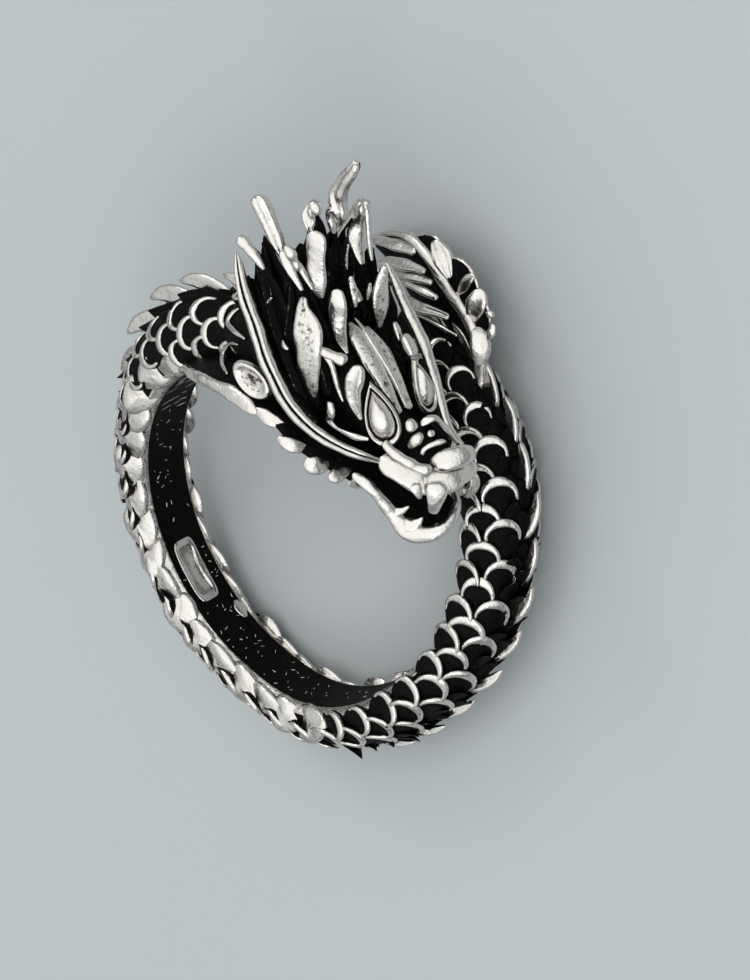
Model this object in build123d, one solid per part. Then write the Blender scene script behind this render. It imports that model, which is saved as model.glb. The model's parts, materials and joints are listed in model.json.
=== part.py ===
"""A silver dragon ring, cast in one piece: a scaled body coils once round the finger.

The head lies over the start of the coil and the feathered tail ends beside it, on its far side.
The model is worked out round the axis of the finger hole, and is then laid down as it rests.
"""
from build123d import *
import math
import os

import numpy as np

os.makedirs("parts", exist_ok=True)

# Driving sizes in mm
finger_radius = 9.0
band_width = 2.44
body_half_width = 2.0
body_height = 2.5
scale_relief = 0.26
spine_height = 1.0
tail_shift = 6.4
head_height = 4.6
head_half_width = 2.7
whisker_radius = 0.36
lip_radius = 0.36
horn_radius = 0.42
horn_reach = 9.0
blade_radius = 0.30
leaf_radius = 0.34
eye_radius = 0.70
fang_radius = 0.30
plume_reach = 5.2
plume_width = 1.4
plume_thickness = 0.30
barb_radius = 0.22
plate_length = 3.3
plate_width = 1.3
plate_depth = 0.12

# How the body coils, in degrees round the finger from the throat to the root of the tail
neck_angle = 74.0
tail_angle = 418.0
scale_count = 48
steps_per_scale = 4
steps_per_spine = 6
facing_angle = 135.0

# What the bore cut takes off the inner side of the casting
bore_margin = 0.3
bore_run = 60.0


def spot(angle, radius, side):
    """A point from its angle round the finger, its distance from the axis and its side."""
    turn = math.radians(angle)
    return (radius * math.cos(turn), radius * math.sin(turn), side)


def read(table, place, column):
    """A smooth value between the rows of a table, whose first column is the place."""
    rows = sorted(table)
    last = len(rows) - 1
    if place <= rows[0][0]:
        return rows[0][column]
    if place >= rows[last][0]:
        return rows[last][column]
    index = max(i for i in range(last) if rows[i][0] <= place)

    def slope(i):
        low, high = rows[max(i - 1, 0)], rows[min(i + 1, last)]
        return (high[column] - low[column]) / (high[0] - low[0])

    start, stop = rows[index], rows[index + 1]
    span = stop[0] - start[0]
    t = (place - start[0]) / span
    return (
        (2 * t**3 - 3 * t**2 + 1) * start[column]
        + (t**3 - 2 * t**2 + t) * span * slope(index)
        + (3 * t**2 - 2 * t**3) * stop[column]
        + (t**3 - t**2) * span * slope(index + 1)
    )


def facet(a, b, c):
    """One flat three-sided face."""
    return Face(Wire.make_polygon([Vector(*a), Vector(*b), Vector(*c)], close=True))


def skin(rows):
    """A closed solid over rows of points, each row one section, with a fan on each end."""
    count = len(rows[0])
    faces = []
    for low, high in zip(rows, rows[1:]):
        for j in range(count):
            k = (j + 1) % count
            faces.append(facet(low[j], low[k], high[k]))
            faces.append(facet(low[j], high[k], high[j]))
    for row, order in ((rows[0], -1), (rows[-1], 1)):
        middle = tuple(sum(point[i] for point in row) / count for i in range(3))
        for j in range(count):
            pair = (row[j], row[(j + 1) % count])[::order]
            faces.append(facet(middle, *pair))
    return outward(Solid(Shell(faces)))


def outward(solid):
    """The same solid with its faces turned outwards, whichever way its rows ran."""
    if solid.volume > 0:
        return solid
    return Solid(Shell([-face for face in solid.faces()]))


# The body: places round the finger with shares of the sizes above
# angle, sideways share of tail_shift, width share, height share, spine share
BODY = [
    (74, 0.00, 0.90, 1.20, 0.9),
    (92, 0.00, 0.98, 1.30, 1.0),
    (110, 0.00, 1.00, 1.26, 1.1),
    (135, 0.00, 1.00, 1.10, 1.0),
    (165, 0.00, 1.00, 1.00, 0.8),
    (230, 0.00, 1.00, 0.98, 0.7),
    (275, -0.01, 1.00, 1.00, 0.7),
    (300, -0.19, 1.02, 1.00, 0.8),
    (320, -0.39, 1.05, 1.02, 0.9),
    (340, -0.57, 1.05, 1.04, 0.9),
    (360, -0.72, 1.02, 1.04, 1.0),
    (380, -0.84, 0.90, 0.98, 1.0),
    (400, -0.94, 0.66, 0.86, 0.8),
    (418, -1.00, 0.36, 0.60, 0.3),
]

# Half the section of the body, from the inner edge up to the crest
# height share, width share, part played
FLANK = [
    (0.16, 0.850, "wall"),
    (0.24, 0.930, "valley"),
    (0.36, 1.000, "scale"),
    (0.50, 0.960, "valley"),
    (0.64, 0.880, "scale"),
    (0.78, 0.700, "valley"),
    (0.88, 0.500, "scale"),
    (0.95, 0.280, "valley"),
]


def scale_lift(step, row):
    """How far a scale stands up: it rises to its free edge and then drops to the next one."""
    phase = (step + (row % 2) * steps_per_scale / 2) % steps_per_scale
    return scale_relief * (1.0, 0.15, 0.4, 0.75)[int(phase)]


def spine_lift(step):
    """The crest rises to a raked tip and drops behind it."""
    return (0.0, 0.1, 0.35, 0.7, 1.0, 0.25)[step % steps_per_spine]


def body_section(step, angle):
    """One section of the body, from the near inner corner over the crest to the far one."""
    middle = read(BODY, angle, 1) * tail_shift
    half = read(BODY, angle, 2) * body_half_width
    height = read(BODY, angle, 3) * body_height
    spine = read(BODY, angle, 4) * spine_height
    edge = half / body_half_width * band_width / 2
    wall_height, wall_width, _ = FLANK[0]
    lean = (wall_width * half - edge) / (wall_height * height)
    corner = edge - lean * bore_margin
    side = [(finger_radius - bore_margin, corner)]
    row = 0
    for height_share, width_share, part in FLANK:
        lift = 0
        if part == "scale":
            lift = scale_lift(step, row)
            row += 1
        up = finger_radius + height_share * height
        side.append((up + lift * height_share, width_share * half + lift * (1 - height_share)))
    rake = spine_lift(step) * (tail_angle - neck_angle) / (scale_count * steps_per_scale)
    crest = finger_radius + height + spine * spine_lift(step)
    near = [spot(angle, r, middle + w) for r, w in side]
    far = [spot(angle, r, middle - w) for r, w in reversed(side)]
    return near + [spot(angle + rake, crest, middle)] + far


def make_body():
    """The scaled body with its crest of raked spines."""
    steps = scale_count * steps_per_scale
    turn = (tail_angle - neck_angle) / steps
    return skin([body_section(i, neck_angle + i * turn) for i in range(steps + 1)])


# The head, in shares of head_height and head_half_width
# angle, top, widest height, bottom, width at the top, widest half width, sideways
SKULL = [
    (86, 0.62, 0.34, 0.06, 0.24, 0.56, 0.00),
    (73, 0.88, 0.40, 0.00, 0.34, 0.84, 0.04),
    (61, 1.00, 0.42, 0.00, 0.40, 0.94, 0.06),
    (51, 0.99, 0.42, 0.00, 0.36, 0.90, 0.04),
    (42, 0.93, 0.44, 0.06, 0.30, 0.80, 0.02),
    (35, 0.83, 0.46, 0.15, 0.24, 0.68, 0.00),
    (29, 0.70, 0.46, 0.26, 0.22, 0.54, 0.00),
    (25, 0.78, 0.54, 0.36, 0.30, 0.50, 0.00),
    (19, 0.75, 0.58, 0.43, 0.34, 0.52, -0.03),
    (15, 0.76, 0.64, 0.52, 0.26, 0.40, -0.05),
]
# The throat spreads out flat under the mane and narrows to the open lower jaw
JAW = [
    (108, 0.12, 0.05, -0.06, 0.34, 0.46, 0.00),
    (95, 0.15, 0.05, -0.06, 0.50, 0.86, 0.00),
    (80, 0.18, 0.05, -0.06, 0.90, 1.38, 0.00),
    (64, 0.19, 0.05, -0.06, 1.02, 1.50, 0.00),
    (50, 0.19, 0.05, -0.06, 1.02, 1.50, 0.00),
    (40, 0.19, 0.05, -0.06, 0.90, 1.36, 0.00),
    (31, 0.18, 0.06, -0.06, 0.60, 1.08, 0.00),
    (22, 0.17, 0.06, -0.06, 0.42, 0.74, 0.00),
    (14, 0.15, 0.06, -0.06, 0.38, 0.56, 0.00),
    (6, 0.17, 0.07, -0.06, 0.36, 0.50, -0.02),
    (1, 0.28, 0.14, -0.03, 0.28, 0.42, -0.05),
    (-2, 0.34, 0.24, 0.12, 0.14, 0.24, -0.08),
]


def head_section(row):
    """A ten-sided section of the skull or jaw."""
    angle, top, widest, bottom, top_width, width, sideways = row
    middle = sideways * head_half_width
    levels = (
        (top, 0.0),
        (top * 0.97, top_width),
        ((top + widest) / 2, (top_width + width) / 2 + 0.06),
        (widest, width),
        (bottom, width * 0.8),
        (bottom, 0.0),
    )
    near = [(finger_radius + h * head_height, middle + w * head_half_width) for h, w in levels]
    far = [(r, 2 * middle - z) for r, z in near[4:0:-1]]
    return [spot(angle, r, z) for r, z in near + far]


def make_skull():
    """The upper head from the back of the skull to the snout."""
    return skin([head_section(row) for row in SKULL])


def make_jaw():
    """The throat and the open lower jaw, with its lip turned up at the tip."""
    return skin([head_section(row) for row in JAW])


def rod(path, thickness, flat=1.0, sides=6):
    """A tapered strand through places of (angle, height, side, share of thickness) in mm."""
    points = [Vector(*spot(a, finger_radius + h, s)) for a, h, s, _ in path]
    last = len(points) - 1
    rows = []
    for i, centre in enumerate(points):
        along = (points[min(i + 1, last)] - points[max(i - 1, 0)]).normalized()
        across = along.cross(Vector(centre.X, centre.Y, 0)).normalized()
        out = across.cross(along)
        share = path[i][3] * thickness
        ring = []
        for j in range(sides):
            turn = 2 * math.pi * (j + 0.5) / sides
            offset = across * (share * math.cos(turn)) + out * (share * flat * math.sin(turn))
            ring.append(tuple(centre + offset))
        rows.append(ring)
    return skin(rows)


def head_rod(path, thickness, flat=1.0):
    """A strand of the head, its heights and sides in shares of the head's sizes."""
    sized = [(a, h * head_height, s * head_half_width, t) for a, h, s, t in path]
    return rod(sized, thickness, flat)


def mirrored(path):
    """The same strand on the far side of the head."""
    return [(a, h, -s, t) for a, h, s, t in path]


# Strands that differ on the two sides: angle, height share, side share, thickness share
WHISKERS = [
    [(23, 0.38, 0.62, 0.8), (27, 0.31, 1.05, 1.0), (33, 0.28, 1.33, 1.1), (42, 0.28, 1.48, 1.2),
     (50, 0.39, 1.55, 1.2), (56, 0.63, 1.53, 1.1), (61, 0.98, 1.48, 1.0), (65, 1.59, 1.30, 0.7)],
    [(16, 0.61, -0.68, 0.7), (26, 0.50, -0.86, 1.0), (32, 0.67, -1.00, 1.1), (38, 0.77, -1.08, 1.1),
     (45, 0.85, -1.12, 1.1), (53, 1.04, -1.14, 1.0), (60, 1.34, -1.08, 0.6)],
]
LIP = [
    (24, 0.42, 0.52, 0.8), (19, 0.54, 0.60, 1.1), (15.8, 0.73, 0.43, 1.1), (14.4, 0.79, -0.02, 1.1),
    (15.0, 0.80, -0.46, 1.1), (18, 0.70, -0.64, 1.1), (24, 0.54, -0.58, 0.8),
]
# Strands on both sides
BROW = [(52, 0.80, 0.74, 0.8), (43, 0.90, 0.56, 1.2), (35, 0.85, 0.50, 0.9)]
EYE = [(38, 0.84, 0.50, 0.3), (32, 0.74, 0.57, 0.9), (28, 0.67, 0.55, 0.9), (25.5, 0.63, 0.52, 0.4)]
CHEEK = [(45, 0.28, 0.76, 0.8), (50, 0.66, 0.86, 1.6), (55, 1.28, 0.70, 0.6)]
BLADE = [(50, 0.95, 0.42, 1.2), (53, 1.45, 0.46, 1.6), (56, 1.92, 0.44, 0.7)]
POINT = [(44, 0.80, 0.26, 1.1), (47, 1.04, 0.27, 1.6), (51, 1.38, 0.26, 0.6)]
CURL = [(66, 0.17, 1.36, 0.5), (60, 0.22, 1.42, 1.5), (54, 0.20, 1.42, 0.5)]
FANG = [(17, 0.62, 0.26, 1.1), (12, 0.52, 0.28, 0.9), (7.5, 0.40, 0.29, 0.3)]

# Horns: angle and side at the root, angle, reach and side at the tip, thickness share
# A side is a share of head_half_width, and the reach a share of horn_reach
HORNS = [
    (55, 0.62, 65, 0.62, 0.82, 1.0),
    (58, 0.78, 66, 0.44, 1.20, 0.8),
    (52, 0.60, 59, 0.42, 0.74, 1.1),
    (54, 0.32, 58, 0.62, 0.34, 1.2),
    (55, -0.02, 54, 0.92, 0.02, 1.2),
    (53, -0.40, 54, 0.60, -0.46, 1.0),
    (50, -0.60, 52, 0.28, -0.60, 0.9),
    (56, -0.72, 62, 0.46, -0.92, 0.9),
]

# How fast the skull falls away to its sides, as a share of head_height
skull_round = 0.6

# Leaves along the edge of the jaw: angle of the tip, side share
LEAVES = [(60, 1.46), (52, 1.47), (44, 1.40), (36, 1.24), (29, 0.98), (22, 0.72)]
leaf_turn = 7.0


def horn(angle, side, tip_angle, reach, tip_side, share):
    """A horn from inside the skull, swept up and back to a narrow tip."""
    crown = read(SKULL, angle, 1) - skull_round * side * side
    root = crown * head_height - horn_radius * 2
    tip = head_height + reach * horn_reach
    path = []
    for t, size in ((0.0, 1.2), (0.35, 1.1), (0.7, 0.9), (1.0, 0.55)):
        sweep = angle + (tip_angle - angle) * t
        spread = (side + (tip_side - side) * t) * head_half_width
        path.append((sweep, root + (tip - root) * t, spread, size * share))
    return rod(path, horn_radius)


def leaf(angle, side):
    """A barb on the edge of the jaw, raked to the snout."""
    return [
        (angle + leaf_turn, 0.03, side - 0.08, 0.7),
        (angle + leaf_turn / 2, 0.10, side - 0.02, 1.3),
        (angle, 0.17, side - 0.04, 0.5),
    ]


def head_strands():
    """Whiskers, lips, horns, brows, eyes, plates, barbs and fangs."""
    solids = [head_rod(path, whisker_radius) for path in WHISKERS]
    solids.append(head_rod(LIP, lip_radius, flat=0.8))
    solids += [horn(*row) for row in HORNS]
    pairs = [(BROW, blade_radius, 1.0), (EYE, eye_radius, 0.8), (CHEEK, blade_radius, 0.6)]
    pairs += [(BLADE, blade_radius, 0.7), (POINT, blade_radius, 0.7), (CURL, leaf_radius, 0.6)]
    pairs += [(FANG, fang_radius, 1.0)]
    pairs += [(leaf(*row), leaf_radius, 0.7) for row in LEAVES]
    for path, thickness, flat in pairs:
        solids.append(head_rod(path, thickness, flat))
        solids.append(head_rod(mirrored(path), thickness, flat))
    return solids


# The tail plume: angle, height share of plume_reach, side share of tail_shift,
# inner and outer width share of plume_width
PLUME = [
    (10, 0.26, -0.78, 0.30, 0.30),
    (22, 0.36, -0.87, 0.50, 0.60),
    (34, 0.60, -0.93, 0.70, 0.90),
    (43, 0.74, -0.97, 0.90, 1.10),
    (50, 0.79, -1.01, 1.00, 1.15),
    (57, 0.89, -1.07, 1.00, 0.90),
    (64, 0.88, -1.13, 0.70, 0.50),
    (71, 0.76, -1.19, 0.40, 0.25),
    (77, 0.62, -1.23, 0.12, 0.12),
]
barb_count = 7
barb_start = 20.0
barb_pitch = 6.0
barb_turn = 8.0


def plume_spot(angle, across):
    """Height and side on the plume, from its inner edge at 1 over the rib to its outer at -1."""
    height = read(PLUME, angle, 1) * plume_reach
    side = read(PLUME, angle, 2) * tail_shift
    if across > 0:
        width = across * read(PLUME, angle, 3) * plume_width
        return height - 0.25 * width, side + width
    width = -across * read(PLUME, angle, 4) * plume_width
    return height + 0.85 * width, side - 0.45 * width


def make_plume():
    """The feathered end of the tail: a thin blade with a midrib and raked barbs."""
    rows = []
    for row in PLUME:
        angle = row[0]
        height, side = plume_spot(angle, 0)
        inner, outer = plume_spot(angle, 1), plume_spot(angle, -1)
        outline = (
            inner,
            (height + plume_thickness, side + 0.1),
            outer,
            (height - plume_thickness, side - 0.3),
        )
        rows.append([spot(angle, finger_radius + h, s) for h, s in outline])
    solids = [skin(rows)]
    for i in range(barb_count):
        angle = barb_start + i * barb_pitch
        for edge in (0.9, -0.9):
            barb = []
            for t, size in ((0.0, 1.0), (0.5, 1.2), (1.0, 0.6)):
                height, side = plume_spot(angle + t * barb_turn, edge * t)
                barb.append((angle + t * barb_turn, height + plume_thickness * 0.5, side, size))
            solids.append(rod(barb, barb_radius))
    return solids


# The middle of the small plate sunk in the inner wall
plate_angle = 195.0


def plate_pocket():
    """The shallow pocket of the bare plate, to be cut from the inner wall."""
    block = Box(2 * bore_margin, plate_length, plate_width)
    block = Pos(finger_radius + plate_depth - bore_margin, 0, 0) * block
    return Rot(0, 0, plate_angle) * block


def lean_rotation(normal):
    """The least turn that stands this direction upright."""
    x, y, z = normal
    k = 1 / (1 + z)
    return np.array([[1 - k * x * x, -k * x * y, -x], [-k * x * y, 1 - k * y * y, -y], [x, y, z]])


def highest(function, low, high, rounds=32):
    """Where a function with one peak is highest, by cutting its range in three."""
    for _ in range(rounds):
        third = (high - low) / 3
        if function(low + third) < function(high - third):
            low += third
        else:
            high -= third
    return (low + high) / 2


def resting_normal(points, centre):
    """Which way is up when a body with these points and centre of mass rests on its far side."""
    normal = np.array([0.0, 0.0, 1.0])
    for _ in range(8):
        turn = lean_rotation(normal)
        x, y, z = turn @ (points - centre).T
        low = z < 0

        def room(a, b):
            return (z[low] - a * x[low] - b * y[low]).min()

        def best_b(a):
            return highest(lambda b: room(a, b), -0.5, 0.5)

        a = highest(lambda a: room(a, best_b(a)), -0.5, 0.5)
        b = best_b(a)
        normal = turn.T @ np.array([-a, -b, 1.0])
        normal /= np.linalg.norm(normal)
    return normal


def laid_down(ring):
    """The ring as it rests on its far side, its head to the front and the floor at zero."""
    ring = Rot(0, 0, -facing_angle) * ring
    points = np.array([tuple(vertex) for vertex in ring.vertices()])
    turn = lean_rotation(resting_normal(points, np.array(tuple(ring.center(CenterOf.MASS)))))
    plane = Plane(origin=(0, 0, 0), x_dir=tuple(turn[:, 0]), z_dir=tuple(turn[:, 2]))
    ring = plane.location * ring
    spots = points @ turn.T
    low, high = spots.min(axis=0), spots.max(axis=0)
    shift = (-(low[0] + high[0]) / 2, -(low[1] + high[1]) / 2, -low[2])
    print("finger hole centre in mm", [round(float(v), 4) for v in shift])
    print("finger hole axis", [round(float(v), 6) for v in turn[:, 2]])
    return Pos(*shift) * ring


def make_ring():
    """The whole casting as one solid, with the finger hole bored true."""
    bore = Cylinder(finger_radius, bore_run)
    body = make_body().cut(bore, plate_pocket())
    head = make_skull().fuse(make_jaw(), *head_strands(), *make_plume())
    return body.fuse(*head.cut(bore).solids())


dragon_ring = laid_down(make_ring())
dragon_ring.label = "dragon_ring"
export_step(dragon_ring, "parts/dragon_ring.step")
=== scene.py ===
"""The look of a cast silver dragon ring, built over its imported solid.

The body coils once round the finger. Places on the ring are given as a distance from the axis of the
finger hole in mm, an angle round it in degrees and a side along the axis in mm, near side positive.
"""
import json
import math

import bmesh
import bpy
import numpy as np
from bpy.props import FloatVectorProperty, IntProperty, PointerProperty
from mathutils import Matrix, Vector


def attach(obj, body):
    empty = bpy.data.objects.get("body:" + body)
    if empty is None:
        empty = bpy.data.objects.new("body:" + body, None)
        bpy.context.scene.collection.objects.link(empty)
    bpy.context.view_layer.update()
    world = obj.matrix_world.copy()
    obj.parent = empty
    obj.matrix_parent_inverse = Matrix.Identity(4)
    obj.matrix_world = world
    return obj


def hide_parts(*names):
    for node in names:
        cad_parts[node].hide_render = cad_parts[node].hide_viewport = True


bl_info = {
    "name": "Dragon Ring",
    "version": (1, 0, 0),
    "blender": (4, 5, 0),
    "location": "View3D > Sidebar > Dragon Ring",
    "description": "Builds a cast silver dragon ring piece by piece",
    "category": "Object",
}

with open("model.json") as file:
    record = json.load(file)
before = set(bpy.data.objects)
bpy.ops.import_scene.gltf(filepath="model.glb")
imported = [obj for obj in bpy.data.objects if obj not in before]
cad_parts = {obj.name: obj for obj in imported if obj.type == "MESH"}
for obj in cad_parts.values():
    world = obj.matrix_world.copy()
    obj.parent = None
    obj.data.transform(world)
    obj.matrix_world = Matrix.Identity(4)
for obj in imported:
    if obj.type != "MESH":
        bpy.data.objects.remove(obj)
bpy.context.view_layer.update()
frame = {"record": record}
HOLE = next(mount for mount in frame["record"]["mounts"] if mount["name"] == "finger_hole")
FINGER_RADIUS = HOLE["dims"]["r_mm"]
MM = 0.001
# How far the ring is turned about the upright as it lies
FACING = math.radians(-135.0)
# The bare plate on the inner wall, in mm and degrees
PLATE_LENGTH, PLATE_WIDTH, PLATE_ANGLE, PLATE_SIDE = 3.4, 1.3, 195.0, 0.15
# Half the width of the inner wall that the scratches keep to, in mm
WALL_HALF = 1.1
# Distance of the middle of the head from the axis, in mm
HEAD_MIDDLE = 11.0


def lean():
    """The turn from the upright finger hole to the ring as it lies."""
    ax, ay, z = HOLE["axis"]
    x, y = -ax, -ay
    k = 1 / (1 + z)
    return np.array([[1 - k * x * x, -k * x * y, -x], [-k * x * y, 1 - k * y * y, -y], [x, y, z]])


COS, SIN = math.cos(FACING), math.sin(FACING)
TURN = lean() @ np.array([[COS, -SIN, 0.0], [SIN, COS, 0.0], [0.0, 0.0, 1.0]])
CENTRE = np.array(HOLE["pos_m"])


def placed(points):
    """Ring places in mm, as x, y and z round the hole, in the part's frame in metres."""
    return np.asarray(points, float) @ TURN.T * MM + CENTRE


def spots(radius, angle, side):
    """Points in mm from distances from the axis, angles in degrees and sides."""
    radius, turn, side = np.broadcast_arrays(radius, np.radians(angle), side)
    return np.stack([radius * np.cos(turn), radius * np.sin(turn), side], axis=-1)


def unit(vectors):
    """Vectors of length one."""
    return vectors / np.maximum(np.linalg.norm(vectors, axis=-1, keepdims=True), 1e-12)


def square_to(ways, vectors):
    """Vectors of length one, with what runs along some ways taken out."""
    return unit(vectors - ways * np.sum(vectors * ways, axis=-1, keepdims=True))


def corners(sides):
    """Turns to the corners of a round section, in radians."""
    return 2 * np.pi * (np.arange(sides) + 0.5) / sides


def flowing(rows, places, count):
    """Smooth values through the rows of a table, at a number of even places or at given ones."""
    rows = np.asarray(rows, float)
    places = np.asarray(places, float)
    slope = np.gradient(rows, places, axis=0)
    at = np.linspace(places[0], places[-1], count) if np.isscalar(count) else np.asarray(count, float)
    i = np.clip(np.searchsorted(places, at) - 1, 0, len(places) - 2)
    span = (places[i + 1] - places[i])[:, None]
    t = (at - places[i])[:, None] / span
    return (
        (2 * t**3 - 3 * t**2 + 1) * rows[i]
        + (t**3 - 2 * t**2 + t) * span * slope[i]
        + (3 * t**2 - 2 * t**3) * rows[i + 1]
        + (t**3 - t**2) * span * slope[i + 1]
    )


def step(low, high, value):
    """A soft step from 0 to 1."""
    t = np.clip((value - low) / (high - low), 0, 1)
    return t * t * (3 - 2 * t)


def linked(name, data):
    """A new object in the scene."""
    thing = bpy.data.objects.new(name, data)
    bpy.context.scene.collection.objects.link(thing)
    return thing


def settled(piece):
    """A finished piece rides with the ring."""
    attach(piece, "root")


class Cast:
    """Points, faces and polish of one casting, gathered before they become a mesh."""

    def __init__(self):
        self.points, self.faces, self.polish = [], [], []
        self.total = 0

    def add_rows(self, rows, polish):
        """A closed skin over rows of points, each row one section, with a fan on each end."""
        count, sides = rows.shape[:2]
        start = self.total
        i, j = np.meshgrid(np.arange(count - 1), np.arange(sides), indexing="ij")
        k = (j + 1) % sides
        faces = np.stack([i * sides + j, i * sides + k, (i + 1) * sides + k, (i + 1) * sides + j], axis=-1)
        self.faces += (faces.reshape(-1, 4) + start).tolist()
        low, high = start + count * sides, start + count * sides + 1
        last = start + (count - 1) * sides
        for j in range(sides):
            k = (j + 1) % sides
            self.faces += [[low, start + k, start + j], [high, last + j, last + k]]
        self.points += [rows.reshape(-1, 3), rows[:1].mean(axis=1), rows[-1:].mean(axis=1)]
        marks = np.broadcast_to(polish, rows.shape[:2])
        self.polish += [marks.ravel(), marks[:1].mean(axis=1), marks[-1:].mean(axis=1)]
        self.total += count * sides + 2

    def add_rings(self, rings):
        """A closed skin over rings of points, each given with its polish."""
        rows = np.array([ring for ring, _ in rings])
        self.add_rows(rows, np.array([np.broadcast_to(mark, len(ring)) for ring, mark in rings]))

    def made(self, name, in_place=True):
        """The gathered casting as a mesh object of the ring's metal, its normals outwards."""
        points = np.concatenate(self.points)
        mesh = bpy.data.meshes.new(name)
        mesh.from_pydata(placed(points) if in_place else points * MM, [], self.faces)
        mark = mesh.attributes.new("polish", "FLOAT", "POINT")
        mark.data.foreach_set("value", np.concatenate(self.polish).astype(np.float32))
        shape = bmesh.new()
        shape.from_mesh(mesh)
        bmesh.ops.recalc_face_normals(shape, faces=shape.faces)
        shape.to_mesh(mesh)
        shape.free()
        mesh.polygons.foreach_set("use_smooth", [True] * len(mesh.polygons))
        mesh.materials.append(metal())
        return linked(name, mesh)


def pattern(name, rings):
    """A small casting on axes of its own, to be set in rows."""
    cast = Cast()
    cast.add_rings(rings)
    return cast.made(name, in_place=False)


# Section styles of a strand: depth of the groove along its middle, half width of it, polish in it and
# polish beside it
STYLES = {
    "round": (0.00, 1.00, 1.0, 1.0),
    "double": (0.55, 0.19, 0.10, 1.0),
    "scored": (0.30, 0.19, 0.42, 1.0),
    "leaf": (0.45, 0.50, 0.75, 1.0),
    "plate": (0.10, 0.80, 1.0, 1.0),
    "worn": (0.15, 0.95, 0.50, 1.0),
    "dark": (0.30, 0.40, 0.0, 0.0),
    "hair": (-0.50, 0.22, 0.40, 0.0),
}


def strand(cast, path, style="round", tilt=45.0, root=0.0, ripple=0.0):
    """One strand swept along rows of distance, angle, side, half width and half thickness.

    Its face looks outwards, turned by the tilt towards the near side. The dark root is a share of its length.
    """
    rows = np.array(path, float)
    points = spots(rows[:, 0], rows[:, 1], rows[:, 2])
    run = np.concatenate([[0], np.cumsum(np.linalg.norm(np.diff(points, axis=0), axis=1))])
    # Sections stand closer in a short strand, and towards the ends of any
    count = int(np.clip(18 + 4 * run[-1], 22, 70))
    share = (1 - np.cos(np.linspace(0, np.pi, count))) / 2
    far = share * run[-1]
    flow = flowing(np.column_stack([points, rows[:, 3:]]), run, far)
    centre, wide, thick = flow[:, :3], flow[:, 3], flow[:, 4]
    along = unit(np.gradient(centre, axis=0))
    turn = math.radians(tilt)
    face = math.cos(turn) * unit(centre * [1, 1, 0]) + math.sin(turn) * np.array([0, 0, 1])
    face = square_to(along, face)
    across = np.cross(along, face)
    cap = np.ones(count)
    for distance, radius in ((far, rows[0, 3]), ((1 - share) * run[-1], rows[-1, 3])):
        cap *= np.sqrt(1 - np.clip(1 - distance / max(0.7 * radius, 0.02), 0, 0.985) ** 2)
    # A hand-finished model is never even, so each strand swells and bends a little in its own way
    own = points.sum()
    cap *= 1 + ripple * np.sin(far * 9.0) + 0.05 * np.sin(far * 4.3 + own)
    centre = centre + 0.02 * across * np.sin(far * 2.1 + own)[:, None]
    depth, reach, middle, beside = STYLES[style]
    turn = corners(24)
    flat, rise = np.cos(turn), np.sin(turn)
    dip = np.exp(-((flat / reach) ** 4))
    top = np.where(rise > 0, np.abs(rise) ** 0.7 * (1 - depth * dip), rise * 0.8)
    mark = step(-0.75, -0.2, rise) * (beside + (middle - beside) * dip * (rise > 0))
    shape = centre[:, None] + across[:, None] * (wide * cap)[:, None, None] * flat[:, None]
    shape = shape + face[:, None] * (thick * cap)[:, None, None] * top[:, None]
    cast.add_rows(shape, mark * step(root - 0.12, root + 0.05, share)[:, None])


def strands(name, table):
    """One piece of all the strands of a table."""
    cast = Cast()
    for style, tilt, *path in table:
        more = path.pop() if isinstance(path[-1], dict) else {}
        strand(cast, path, style, tilt, **more)
    settled(cast.made(name))


def lock(cast, path, tilt, seed):
    """A dark lock of hair: narrow ridged strands that follow one path, each with its own bend and length."""
    count = 5
    dice = np.random.default_rng(seed)
    rows = np.array(path, float)
    strand(cast, rows * [1, 1, 1, 0.9, 0.4], "dark", tilt)
    turn = math.radians(tilt)
    fade = np.linspace(1, 0.5, len(rows))
    for k in range(count):
        own = rows.copy()
        shift = (2 * (k + 0.5) / count - 1) * rows[:, 3] * 0.8 * fade
        own[:, 2] += shift * math.cos(turn) + dice.uniform(-0.08, 0.08)
        own[:, 1] -= np.degrees(shift * math.sin(turn) / rows[:, 0]) + dice.uniform(-0.6, 0.6)
        own[:, 0] += np.linspace(0, dice.uniform(-0.8, 0.05), len(rows))
        own[:, 3] = np.maximum(rows[:, 3] * dice.uniform(0.20, 0.34), 0.04)
        own[:, 4] = np.maximum(rows[:, 4] * dice.uniform(0.35, 0.60), 0.04)
        strand(cast, own, "hair", tilt + dice.uniform(-20, 20))


def button(cast, centre, ahead, facing, long, wide, levels, point=1.0):
    """A raised button with a drop-shaped outline, made of rings of share, height and polish.

    Its long axis points to the place ahead, and it faces an angle round the hole and a tilt from there.
    """
    centre, ahead = spots(*centre), spots(*ahead)
    angle, tilt = facing
    out = spots(math.cos(math.radians(tilt)), angle, math.sin(math.radians(tilt)))
    ahead = square_to(out, unit(ahead - centre))
    across = np.cross(out, ahead)
    turn = corners(32)
    x = long * np.cos(turn)[:, None] * ahead
    y = wide * (np.sin(turn) * (1 - point + point * 1.3 * np.sin(turn / 2)))[:, None] * across
    cast.add_rings([(centre + share * (x + y) + height * out, mark) for share, height, mark in levels])


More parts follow.
